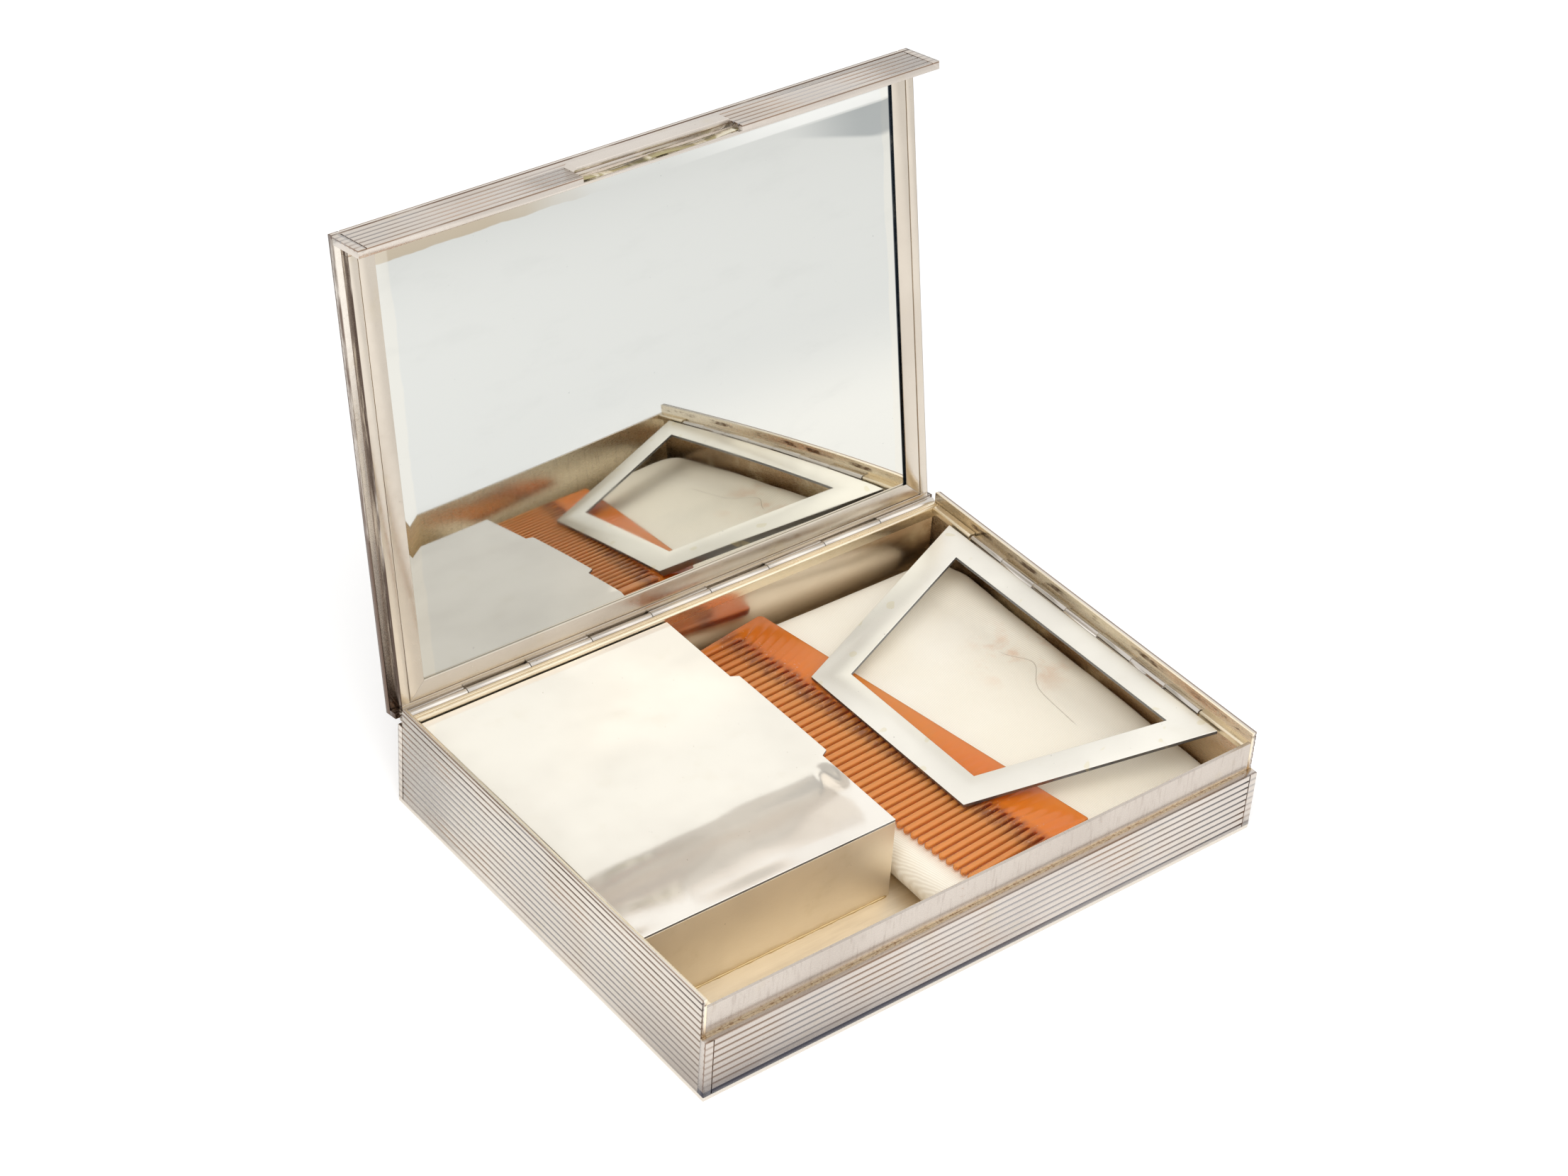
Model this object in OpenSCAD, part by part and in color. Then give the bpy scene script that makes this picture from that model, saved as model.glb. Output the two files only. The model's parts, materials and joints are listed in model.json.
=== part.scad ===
// Silver vanity case with a hinged lid, a bevelled mirror, a covered powder box,
// a lipstick channel and a bay with a satin pouch, a comb and a hinged retaining frame.
// The origin is the centre of the bottom face. X runs left to right, Y front to back, Z up.
// Lid pieces are drawn shut and then swung open about the lid hinge.

/* [Case] */
// Overall width of the case
case_w = 150; // [130:1:170]
// Overall depth of the case, from the front panel to the back wall
case_d = 111.8; // [100:0.1:125]
// Height of the side walls
wall_h = 25.8; // [24.5:0.1:30]
// Thickness of the side and back walls over the reeds
wall_t = 1.3; // [1:0.05:1.6]
// Thickness of the bottom plate
floor_t = 1; // [0.8:0.1:1.5]
// Height of the front lip and of the ledges that the lid rests on
lip_h = 23.2; // [22.8:0.1:23.6]
// Thickness of the front lip
lip_t = 0.9; // [0.6:0.1:1.2]
// Height of the raised front panel
panel_h = 15.8; // [12:0.1:17]
// Thickness of the raised front panel
panel_t = 2; // [1.6:0.1:2.4]

/* [Reeds] */
// Pitch of the reeds, before it is fitted to a whole number of reeds
reed_pitch = 1.7; // [1.1:0.1:2]
// Depth of the groove between two reeds
reed_depth = 0.3; // [0.15:0.05:0.4]
// Width of the groove between two reeds
groove_w = 0.5; // [0.3:0.05:0.6]
// Width of the plain border at the ends of the front panel and the flange
end_border = 1.9; // [1.2:0.1:2.5]
// Width of the plain border at the back end of the side walls
back_border = 1.5; // [1.4:0.1:2]
// Width of the plain border along the free edge of the flange
edge_border = 1.35; // [1:0.05:2]
// Distance of the flange's highest groove below the lid plate
flange_top_border = 1.55; // [1.2:0.05:2]
// Width of the plain border along the bottom of the walls
wall_low_border = 0.45; // [0.3:0.05:1]
// Width of the plain border along the top of the walls
wall_top_border = 0.8; // [0.5:0.1:1.2]
// Width of the plain border along the bottom of the front panel
panel_low_border = 1.1; // [0.8:0.1:1.6]
// Width of the plain border along the top of the front panel
panel_top_border = 1.5; // [1:0.1:2]
// Width of the plain border round the outer face of the lid
lid_border = 2.4; // [1.5:0.1:4]

/* [Ledges] */
// Width of the ledges inside the side walls
ledge_w = 1.9; // [1.5:0.1:2.2]
// Height of the ledge strips
ledge_t = 1.6; // [1.2:0.1:2]
// Radius of the rounded edge of the ledge strips
ledge_r = 0.5; // [0.3:0.1:0.6]
// Depth of the line cut along the back ledge
line_d = 0.25; // [0.1:0.05:0.4]
// Height of the back ledge's foot, which is joined to the back wall
ledge_foot = 0.9; // [0.5:0.1:2]

/* [Lid] */
// Angle that the lid stands open, measured from shut
lid_open = 100; // [90:1:105]
// Thickness of the lid plate
lid_t = 1.6; // [1.2:0.1:2]
// Gap between the shut lid and the case
lid_gap = 0.1; // [0.1:0.05:0.2]
// Gap between the lid rails and the side walls
rail_gap = 0.3; // [0.2:0.05:0.5]
// Distance from the outside of the lid to the mirror bezel at the sides
rim_w = 3.7; // [3.4:0.1:5]
// Distance from the recessed front to the mirror bezel
rim_front_w = 2.2; // [2:0.1:5]
// Distance from the back of the lid to the mirror bezel
rim_back_w = 2.7; // [2.4:0.1:4]

/* [Lid hinge] */
// Radius of the lid hinge tube
hinge_r = 1.05; // [0.95:0.05:1.1]
// Radius of the lid hinge pin
pin_r = 0.5; // [0.4:0.05:0.55]
// Running clearance round every hinge pin
pin_gap = 0.05; // [0.02:0.01:0.08]
// Depth of the lid hinge axis below the ledge tops
hinge_down = 0.7; // [0.6:0.05:0.9]
// Distance from the back face of the case to the lid hinge axis
hinge_in = 0.3; // [0.2:0.05:0.4]
// Number of knuckles in the lid hinge
hinge_count = 9; // [5:2:11]
// Distance from each side of the case to the end of the hinge tube
hinge_end = 0.9; // [0.8:0.1:1.5]
// Gap between two knuckles
knuckle_gap = 0.15; // [0.1:0.05:0.3]

/* [Mirror] */
// Width of the bezel strips
bezel_w = 3.85; // [3:0.05:5]
// Width of the bezel's front strip, which the flange almost hides
bezel_front_w = 0.45; // [0.4:0.05:5]
// Thickness of the bezel strips
bezel_t = 0.6; // [0.5:0.1:0.8]
// Width of the line between the rim and the bezel
bezel_line = 0.25; // [0.15:0.05:0.4]
// Thickness of the edge of the mirror glass
glass_t = 1.3; // [1:0.1:1.4]
// Width that the glass reaches under the bezel
glass_lap = 1; // [0.6:0.1:2]
// Width of the bevel on the glass
bevel_w = 3; // [2:0.1:5]
// Height that the middle of the glass stands over its bevelled edge
bevel_h = 0.5; // [0.3:0.05:0.55]

/* [Catch] */
// Length of the thumb plate and of the pocket under it
thumb_w = 41; // [30:1:60]
// Height of the thumb plate
thumb_h = 3.7; // [3:0.1:4.5]
// Height of the open pocket under the thumb plate
pocket_h = 3.7; // [3:0.1:4]
// Depth of the pocket in the flange
pocket_d = 1.3; // [1:0.05:1.4]
// Thickness that the thumb plate stands proud of the flange
thumb_proud = 0.7; // [0.5:0.1:1.2]
// Thickness of the waved catch spring strip
spring_t = 0.25; // [0.2:0.05:0.3]
// Height of the waved catch spring strip
spring_h = 2; // [1.5:0.1:2.5]
// Width of the bars between the slots in the flange behind the spring
slot_bar = 3.2; // [2.4:0.1:3.3]
// Number of waves in the spring strip, whose crests reach through the slots
spring_waves = 2; // [1:1:3]
// Height that the crests of the spring stand over the inner face of the flange
spring_proud = 0.05; // [0.02:0.01:0.08]

/* [Powder box] */
// Distance from the recessed front to the front wall of the powder box
box_y = 24.5; // [18:0.5:35]
// Distance from the left side of the case to the right wall of the powder box
box_x = 69; // [55:0.5:72]
// Thickness of the powder box walls
box_wall = 0.8; // [0.6:0.1:1.2]
// Height of the powder box walls
box_h = 21.5; // [20:0.1:21.6]
// Thickness of the powder lid
cover_t = 0.8; // [0.6:0.1:1]
// Depth of the turned-down rim of the powder lid
cover_rim_h = 1.5; // [1:0.1:3]
// Thickness of the turned-down rim of the powder lid
cover_rim_t = 0.5; // [0.4:0.1:0.8]
// Gap between the turned-down rim and the box walls
cover_gap = 0.4; // [0.3:0.05:0.6]
// Width that the thumb tab stands out from the powder lid
tab_out = 1.8; // [1:0.1:2.5]
// Length of the thumb tab
tab_w = 33; // [15:1:45]
// Distance of the thumb tab's middle behind the middle of the powder lid
tab_back = 0.6; // [-5:0.1:5]

/* [Small hinges] */
// Radius of the powder lid and retaining frame hinge tubes
tube_r = 0.85; // [0.75:0.05:0.9]
// Radius of their pins
small_pin_r = 0.4; // [0.3:0.05:0.45]
// Distance from the side wall to the axis of each small hinge
tube_in = 1.05; // [1.05:0.05:1.2]
// Distance from a small hinge axis to the edge of the plate that it carries
leaf_in = 1.3; // [1.25:0.05:1.6]
// Height of the powder lid hinge axis above the box walls
cover_hinge_up = 0.3; // [0.1:0.1:0.5]
// Depth of the retaining frame hinge axis below the ledge tops
frame_hinge_down = 1; // [0.95:0.05:1.2]
// Length of the retaining frame hinge tube
frame_tube_w = 78; // [60:1:85]
// Number of knuckles in each small hinge
small_count = 7; // [3:2:9]

/* [Retaining frame] */
// Length of the long hinged side
frame_long = 91.9; // [86:0.1:98]
// Length of the short free side
frame_short = 53.4; // [40:0.1:70]
// Distance from the hinge axis to the free side
frame_reach = 57.5; // [50:0.1:62]
// Width of the band on the free and slanted sides
frame_band = 7.3; // [5:0.1:10]
// Width from the hinge axis to the opening
frame_hinge_band = 7.4; // [5:0.1:10]
// Thickness of the retaining frame
frame_t = 0.9; // [0.7:0.1:1.1]
// Angle that the frame lies below level
frame_tilt = 8.7; // [8.3:0.1:9]

/* [Comb] */
// Gap between the comb and the back wall
comb_back_gap = 1.7; // [1:0.1:8]
// Gap between the comb and the front lip
comb_front_gap = 6.1; // [1:0.1:8]
// Gap between the far teeth of the comb and the powder box
comb_side_gap = 1.3; // [0.4:0.1:2]
// Width of the comb at its near end
comb_w1 = 33.6; // [28:0.1:34]
// Width of the comb at its far end
comb_w2 = 26.4; // [22:0.1:27]
// Width of the back of the comb at its near end
comb_back1 = 12.1; // [9:0.1:14]
// Width of the back of the comb at its far end
comb_back2 = 10; // [8:0.1:12]
// Thickness of the comb
comb_t = 2.2; // [1.8:0.1:2.4]
// Number of gaps between the teeth
comb_gaps = 44; // [30:1:50]
// Width of the gap between two teeth
comb_gap = 0.65; // [0.4:0.05:0.9]
// Width of the guard tooth at the near end
comb_guard1 = 1.9; // [1.5:0.1:3]
// Width of the guard tooth at the far end
comb_guard2 = 3.8; // [3.2:0.1:5]
// Slant of the near end of the comb and of the teeth there
comb_slant1 = 4.4; // [0:0.1:6]
// Slant of the other teeth
comb_slant2 = 6.3; // [0:0.1:7]
// Length over which the slant of the teeth changes
comb_fan = 40; // [20:1:60]
// Turn of the comb in the bay
comb_turn = 9; // [7:0.1:10]
// Radius of the rounded far corner of the comb back
comb_r = 1.5; // [1:0.5:5]

/* [Pouch] */
// Height of the pouch above the floor
pouch_h = 9.2; // [7:0.1:9.2]
// Height of the crown in the middle of the pouch
pouch_crown = 1.6; // [0.5:0.1:2.5]
// Gap between the pouch and the walls of the bay
pouch_gap = 0.9; // [0.6:0.1:3]
// Radius of the corners of the pouch
pouch_r = 9; // [4:0.5:14]
// Width that the sides of the pouch draw in at the floor
pouch_draw = 2.6; // [1:0.1:4]

/* [Hidden] */

// Places of the case walls
half_w = case_w / 2;
front_y = -case_d / 2;
back_y = case_d / 2;
recess_y = front_y + panel_t;
inner_x = half_w - wall_t;
inner_back_y = back_y - wall_t;
lip_in_y = recess_y + lip_t;
// Axis of the lid hinge and the clear circle round its tube
hinge_y = back_y - hinge_in;
hinge_z = lip_h - hinge_down;
sweep_gap = 0.1;
hinge_clear = hinge_r + sweep_gap;
step_gap = 0.05;
notch_y = hinge_y - hinge_clear - step_gap;
tube_seat_z = hinge_z - hinge_clear;
bore_r = pin_r + pin_gap;
bore_wall = 0.15;
hinge_half = half_w - hinge_end;
hinge_pitch = 2 * hinge_half / hinge_count;
pin_out = 0.3;
// Levels of the shut lid
lid_under = wall_h + lid_gap;
rim_z = lip_h + lid_gap;
back_rail_z = hinge_z + hinge_clear + step_gap;
rail_x = inner_x - rail_gap;
bezel_x = half_w - rim_w;
bezel_y1 = recess_y + rim_front_w;
bezel_y2 = back_y - rim_back_w;
glass_z = rim_z + bezel_t + step_gap;
open_x = bezel_x - bezel_line - bezel_w;
open_y1 = bezel_y1 + bezel_line + bezel_front_w;
open_y2 = bezel_y2 - bezel_line - bezel_w;
glass_front_lap = min(glass_lap, bezel_line + bezel_front_w - step_gap);
// Flange and catch
flange_z = panel_h + lid_gap;
flange_t = panel_t - lid_gap;
pocket_top = flange_z + pocket_h;
thumb_seat = reed_depth;
thumb_slant = 0.8;
spring_z = flange_z + (pocket_h - spring_h) / 2;
spring_end_gap = 0.4;
spring_seat_gap = 0.1;
spring_pitch = (thumb_w - 2 * spring_end_gap) / spring_waves;
slot_w = spring_pitch - slot_bar;
slot_gap = 0.2;
// Powder box
box_front_y = recess_y + box_y;
box_right_x = -half_w + box_x;
cover_hinge_x = -inner_x + tube_in;
cover_left_x = cover_hinge_x + leaf_in;
ledge_gap = 0.3;
ledge_in_y = inner_back_y - ledge_w;
cover_back_y = ledge_in_y - ledge_gap;
cover_hinge_z = box_h + cover_hinge_up;
cover_tube_y1 = box_front_y + box_wall + ledge_gap;
cover_tube_y2 = cover_back_y - ledge_gap;
cover_tube_y = (cover_tube_y1 + cover_tube_y2) / 2;
cover_tube_w = cover_tube_y2 - cover_tube_y1;
tab_y = (box_front_y + cover_back_y) / 2 + tab_back;
tab_slant = 1;
cover_rim_in = 1.5;
cover_rim_back = 0.6;
// Retaining frame
frame_hinge_x = inner_x - tube_in;
frame_hinge_z = lip_h - frame_hinge_down;
frame_slope = (frame_long - frame_short) / 2 / (frame_reach - leaf_in);
small_bore_r = small_pin_r + pin_gap;
small_pin_out = 0.2;
web_in = small_bore_r + 0.1;
web_t = 0.7;
tube_end_gap = 0.4;
// Lowest point of the frame at rest, which sets the height of the comb
frame_low_z = frame_hinge_z - frame_reach * sin(frame_tilt) - frame_t / 2 * cos(frame_tilt);
rest_gap = 0.3;
comb_z = frame_low_z - rest_gap - comb_t;
// The comb fills the depth of the bay, turned, with its gaps at the lip and the back wall
comb_near_rise = comb_w1 * tan(comb_slant1);
comb_front_y = lip_in_y + comb_front_gap + comb_w1 * sin(comb_turn)
    - comb_near_rise * cos(comb_turn);
comb_l = (inner_back_y - comb_back_gap - comb_front_y) / cos(comb_turn);
comb_x = box_right_x + comb_side_gap + comb_w2 * cos(comb_turn) + comb_l * sin(comb_turn);
comb_root = 1.2;
comb_flare = 0.1;
// Pouch
pouch_top = min(floor_t + pouch_h, comb_z - rest_gap);
pouch_x1 = box_right_x + pouch_gap;
pouch_x2 = inner_x - pouch_gap;
pouch_y1 = lip_in_y + pouch_gap;
pouch_y2 = inner_back_y - 1.5 * pouch_gap;
pouch_seat_z = floor_t + 0.05;
// Smoothness of true circles and of the pouch
$fn = 48;
pouch_sides = 56;

// Grooves of a reeded face: the height of groove i of n, over a plain strip of height low
function groove_at(i, n, low, high) = low + (high - low) * i / n;

// Outline of a reeded strip of thickness t and height h, with one groove per entry of zs
function reed_points(t, h, zs) = concat(
    [[0, h], [0, 0], [-t, 0]],
    [for (z = zs) each [
        [-t, z - groove_w / 2],
        [-t + reed_depth * 0.6, z - groove_w / 4],
        [-t + reed_depth, z],
        [-t + reed_depth * 0.6, z + groove_w / 4],
        [-t, z + groove_w / 2]
    ]],
    [[-t, h]]
);

// A reeded sheet that lies along X with its outer face towards -Y and its back face on Y = 0
module reeded_sheet(l, h, t, left, right, low, high) {
    count = max(1, round((h - low - high) / reed_pitch));
    all_zs = [for (i = [0:count]) groove_at(i, count, low, h - high)];
    zs = [for (z = all_zs) if (z > groove_w && z < h - groove_w) z];
    cut1 = left > 0 ? groove_w / 2 : 0;
    cut2 = right > 0 ? groove_w / 2 : 0;
    reed_l = l - left - right - cut1 - cut2;
    translate([-l / 2 + left + cut1, 0, 0])
        rotate([90, 0, 90])
            linear_extrude(reed_l)
                polygon(reed_points(t, h, zs));
    if (left > 0) sheet_end(-l / 2, left, h, t, low, high, 1);
    if (right > 0) sheet_end(l / 2, right, h, t, low, high, -1);
}

// The plain border at one end of a reeded sheet, with the shallow line beside it
module sheet_end(x, w, h, t, low, high, side) {
    translate([side > 0 ? x : x - w, -t, 0])
        cube([w, t, h]);
    line_x = x + side * w;
    translate([side > 0 ? line_x : line_x - groove_w / 2, -t + reed_depth, 0])
        cube([groove_w / 2, t - reed_depth, h]);
}

// One knuckle of a hinge along X: a tube from x1 to x2 with a web towards web_dir (1 up, -1 down)
module tube_x(x1, x2, r, bore) {
    translate([x1, 0, 0])
        rotate([0, 90, 0])
            difference() {
                cylinder(r = r, h = x2 - x1);
                translate([0, 0, -1])
                    cylinder(r = bore, h = x2 - x1 + 2);
            }
}

// One knuckle of a hinge along Y: a tube from y1 to y2
module tube_y(y1, y2, r, bore) {
    translate([0, y2, 0])
        rotate([90, 0, 0])
            difference() {
                cylinder(r = r, h = y2 - y1);
                translate([0, 0, -1])
                    cylinder(r = bore, h = y2 - y1 + 2);
            }
}

// Swings its children, drawn shut, open about the lid hinge
module lid_place() {
    translate([0, hinge_y, hinge_z])
        rotate([-lid_open, 0, 0])
            translate([0, -hinge_y, -hinge_z])
                children();
}

// Base of the case

module bottom_plate() {
    color("silver")
        translate([-half_w, front_y, 0])
            cube([case_w, case_d, floor_t]);
}

// A side wall, drawn as the right one: the hinge row runs out through a notch at the back
module side_wall() {
    wall_l = back_y - recess_y;
    difference() {
        translate([inner_x, (recess_y + back_y) / 2, floor_t])
            rotate([0, 0, 90])
                reeded_sheet(
                    wall_l, wall_h - floor_t, wall_t,
                    0, back_border, wall_low_border, wall_top_border
                );
        translate([inner_x - 1, notch_y, tube_seat_z])
            cube([wall_t + 2, back_y - notch_y + 1, wall_h]);
    }
}

module left_wall() {
    color("silver")
        mirror([1, 0, 0])
            side_wall();
}

module right_wall() {
    color("silver")
        side_wall();
}

module back_wall() {
    color("silver")
        translate([0, inner_back_y, floor_t])
            rotate([0, 0, 180])
                reeded_sheet(
                    2 * inner_x, tube_seat_z - floor_t, wall_t,
                    0, 0, wall_low_border, wall_top_border
                );
}

module front_lip() {
    color("gainsboro")
        translate([-inner_x, recess_y, floor_t])
            cube([2 * inner_x, lip_t, lip_h - floor_t]);
}

module front_panel() {
    color("silver")
        translate([0, recess_y, floor_t])
            reeded_sheet(
                case_w, panel_h - floor_t, panel_t,
                end_border, end_border, panel_low_border, panel_top_border
            );
}

// Section of a ledge strip of height h: its wall side is at x = 0, its top at y = 0
module ledge_section(h) {
    translate([0, -h])
        square([ledge_w - ledge_r, h]);
    translate([0, -h])
        square([ledge_w, h - ledge_r]);
    translate([ledge_w - ledge_r, -ledge_r])
        circle(r = ledge_r);
}

// A stretch of side ledge from y1 to y2, drawn on the left wall
module side_ledge(y1, y2) {
    translate([-inner_x, y2, lip_h])
        rotate([90, 0, 0])
            linear_extrude(y2 - y1)
                ledge_section(ledge_t);
}

// The left ledge stops where the powder lid and its hinge begin
module left_ledge() {
    color("silver")
        side_ledge(lip_in_y, box_front_y - ledge_gap);
}

module right_ledge() {
    color("silver")
        mirror([1, 0, 0]) {
            side_ledge(lip_in_y, -frame_tube_w / 2 - tube_end_gap);
            side_ledge(frame_tube_w / 2 + tube_end_gap, ledge_in_y);
        }
}

// The back ledge: its foot is joined to the wall, and it stands clear of the hinge tube above
module back_ledge() {
    line_y = ledge_w * 0.35;
    h = lip_h - tube_seat_z + ledge_foot;
    tube_back = inner_back_y - (hinge_y - hinge_clear);
    color("silver")
        difference() {
            translate([-inner_x, inner_back_y, lip_h])
                rotate([90, 0, 90])
                    linear_extrude(2 * inner_x)
                        mirror([1, 0])
                            difference() {
                                ledge_section(h);
                                translate([-1, ledge_foot - h])
                                    square([1 + tube_back, h]);
                            }
            translate([-inner_x - 1, ledge_in_y + line_y, lip_h - line_d])
                cube([2 * inner_x + 2, line_d, 1]);
        }
}

// Lid hinge: odd knuckles belong to the lid and even ones to the base
function knuckle_x(i) = -hinge_half + i * hinge_pitch;

module base_hinge_knuckles() {
    web_top = hinge_z - bore_r - bore_wall;
    color("silver")
        for (i = [1:2:hinge_count - 2]) {
            x1 = knuckle_x(i) + knuckle_gap / 2;
            x2 = knuckle_x(i + 1) - knuckle_gap / 2;
            translate([0, hinge_y, hinge_z])
                tube_x(x1, x2, hinge_r, bore_r);
            translate([x1, inner_back_y + step_gap, tube_seat_z])
                cube([x2 - x1, wall_t - 2 * step_gap, web_top - tube_seat_z]);
        }
}

module lid_hinge_pin() {
    color("darkgray")
        translate([-hinge_half - pin_out, hinge_y, hinge_z])
            rotate([0, 90, 0])
                cylinder(r = pin_r, h = 2 * (hinge_half + pin_out));
}

module powder_box_front() {
    color("silver")
        translate([-inner_x, box_front_y, floor_t])
            cube([inner_x + box_right_x, box_wall, box_h - floor_t]);
}

module powder_box_side() {
    side_y = box_front_y + box_wall;
    side_x = box_right_x - box_wall;
    ledge_low = tube_seat_z - ledge_foot;
    color("silver") {
        slab(side_x, box_right_x, side_y, inner_back_y, floor_t, min(box_h, ledge_low));
        slab(side_x, box_right_x, side_y, ledge_in_y, floor_t, box_h);
    }
}

// Small hinges along Y: the even knuckles belong to the case and the odd ones to the plate
module small_tubes(w, first) {
    pitch = w / small_count;
    for (i = [first:2:small_count - 1])
        tube_y(
            -w / 2 + i * pitch + knuckle_gap / 2,
            -w / 2 + (i + 1) * pitch - knuckle_gap / 2,
            tube_r,
            small_bore_r
        );
}

// Webs of the small tubes, from x1 to x2 and centred on the height z
module small_webs(w, first, x1, x2, z, t) {
    pitch = w / small_count;
    for (i = [first:2:small_count - 1])
        translate([x1, -w / 2 + i * pitch + knuckle_gap / 2, z - t / 2])
            cube([x2 - x1, pitch - knuckle_gap, t]);
}

module powder_base_knuckles() {
    color("silver")
        translate([cover_hinge_x, cover_tube_y, cover_hinge_z]) {
            small_tubes(cover_tube_w, 0);
            small_webs(cover_tube_w, 0, -tube_in, -web_in, 0, web_t);
        }
}

module powder_hinge_pin() {
    pin_l = cover_tube_w + 2 * small_pin_out;
    color("darkgray")
        translate([cover_hinge_x, cover_tube_y + pin_l / 2, cover_hinge_z])
            rotate([90, 0, 0])
                cylinder(r = small_pin_r, h = pin_l);
}

module frame_base_knuckles() {
    color("silver")
        translate([frame_hinge_x, 0, frame_hinge_z]) {
            small_tubes(frame_tube_w, 0);
            small_webs(frame_tube_w, 0, web_in, tube_in, 0, web_t);
        }
}

module frame_hinge_pin() {
    pin_l = frame_tube_w + 2 * small_pin_out;
    color("darkgray")
        translate([frame_hinge_x, pin_l / 2, frame_hinge_z])
            rotate([90, 0, 0])
                cylinder(r = small_pin_r, h = pin_l);
}

// Pouch: rings of points round a rounded rectangle, drawn in at the floor and crowned on top
function pouch_corner(a, d) = let (
    hx = (pouch_x2 - pouch_x1) / 2 - d,
    hy = (pouch_y2 - pouch_y1) / 2 - d,
    r = max(1, pouch_r - d),
    c = cos(a),
    s = sin(a),
    k = r / min(hx, hy),
    p = 2 + 5 * (1 - k),
    m = pow(pow(abs(c), p) + pow(abs(s), p), -1 / p)
) [hx * m * c, hy * m * s];

// Inset and height of each ring, from the floor up to the crown
function pouch_rings() = let (
    side_h = pouch_top - pouch_crown - floor_t,
    side = [for (a = [-60:30:60]) [
        pouch_draw * (1 - cos(a)) / (1 - cos(60)),
        pouch_seat_z + side_h * (0.5 + 0.5 * sin(a) / sin(60))
    ]],
    top = [for (k = [0.05, 0.15, 0.35, 0.6, 0.85]) [
        pouch_draw + k * (pouch_x2 - pouch_x1 - 2 * pouch_draw) / 2,
        floor_t + side_h + pouch_crown * sin(90 * pow(k, 0.5))
    ]]
) concat(side, top);

module pouch() {
    rings = pouch_rings();
    n = pouch_sides;
    last = len(rings) - 1;
    cx = (pouch_x1 + pouch_x2) / 2;
    cy = (pouch_y1 + pouch_y2) / 2;
    points = concat(
        [for (ring = rings, j = [0:n - 1])
            concat(pouch_corner(360 * j / n, ring[0]), [ring[1]])],
        [[0, 0, pouch_seat_z], [0, 0, pouch_top]]
    );
    sides = [for (i = [0:last - 1], j = [0:n - 1]) let (j2 = (j + 1) % n) each [
        [i * n + j2, i * n + j, (i + 1) * n + j],
        [i * n + j2, (i + 1) * n + j, (i + 1) * n + j2]
    ]];
    base = [for (j = [0:n - 1]) [(last + 1) * n, j, (j + 1) % n]];
    crown = [for (j = [0:n - 1]) [(last + 1) * n + 1, last * n + (j + 1) % n, last * n + j]];
    color("ivory")
        translate([cx, cy, 0])
            polyhedron(points = points, faces = concat(sides, base, crown));
}

// Lid

// The highest groove of the front runs along the edge of the lid plate
module lid_plate() {
    groove_z = lid_under + groove_w / 2 + 0.1;
    color("silver")
        lid_place()
            difference() {
                translate([0, front_y, lid_under])
                    rotate([-90, 0, 0])
                        reeded_sheet(
                            case_w, case_d, lid_t,
                            lid_border, lid_border, lid_border, lid_border
                        );
                translate([-half_w + end_border, front_y, groove_z])
                    rotate([90, 0, 90])
                        linear_extrude(case_w - 2 * end_border)
                            polygon([
                                [-1, -groove_w / 2],
                                [0, -groove_w / 2],
                                [reed_depth * 0.6, -groove_w / 4],
                                [reed_depth, 0],
                                [reed_depth * 0.6, groove_w / 4],
                                [0, groove_w / 2],
                                [-1, groove_w / 2]
                            ]);
            }
}

// Flange over the recessed front, with the pocket of the catch and the seat of the thumb plate
module lid_flange() {
    color("silver")
        lid_place()
            difference() {
                translate([0, recess_y - lid_gap, flange_z])
                    reeded_sheet(
                        case_w, lid_under - flange_z, flange_t,
                        end_border, end_border, edge_border, flange_top_border
                    );
                translate([-thumb_w / 2, front_y - 1, flange_z - 1])
                    cube([thumb_w, 1 + pocket_d, pocket_h + 1]);
                translate([-thumb_w / 2, front_y - 1, pocket_top - 0.1])
                    cube([thumb_w, 1 + thumb_seat, thumb_h + 0.1]);
                for (i = [0:spring_waves - 1])
                    translate([
                        (i + 0.5 - spring_waves / 2) * spring_pitch - slot_w / 2,
                        front_y,
                        spring_z - slot_gap
                    ])
                        cube([slot_w, panel_t, spring_h + 2 * slot_gap]);
            }
}

module lid_side_rail() {
    translate([bezel_x, bezel_y1, rim_z])
        cube([rail_x - bezel_x, bezel_y2 - bezel_y1, lid_under - rim_z]);
}

module lid_left_rail() {
    color("silver")
        lid_place()
            mirror([1, 0, 0])
                lid_side_rail();
}

module lid_right_rail() {
    color("silver")
        lid_place()
            lid_side_rail();
}

module lid_front_rail() {
    rail_y = recess_y - lid_gap;
    color("silver")
        lid_place()
            translate([-rail_x, rail_y, rim_z])
                cube([2 * rail_x, bezel_y1 - rail_y, lid_under - rim_z]);
}

// The back rail is stepped, so that it clears the hinge tube and reaches out to the back
module lid_back_rail() {
    wide_y = notch_y + 3 * step_gap;
    color("silver")
        lid_place() {
            slab(-rail_x, rail_x, bezel_y2, notch_y, rim_z, lid_under);
            slab(-rail_x, rail_x, bezel_y2, wide_y, back_rail_z, lid_under);
            slab(-half_w, half_w, wide_y, back_y, back_rail_z, lid_under);
        }
}

module lid_hinge_knuckles() {
    web_low = hinge_z + bore_r + bore_wall;
    color("silver")
        lid_place()
            for (i = [0:2:hinge_count - 1]) {
                x1 = knuckle_x(i) + knuckle_gap / 2;
                x2 = knuckle_x(i + 1) - knuckle_gap / 2;
                translate([0, hinge_y, hinge_z])
                    tube_x(x1, x2, hinge_r, bore_r);
                slab(
                    x1, x2, inner_back_y + step_gap, back_y - step_gap,
                    web_low, back_rail_z
                );
            }
}

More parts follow.
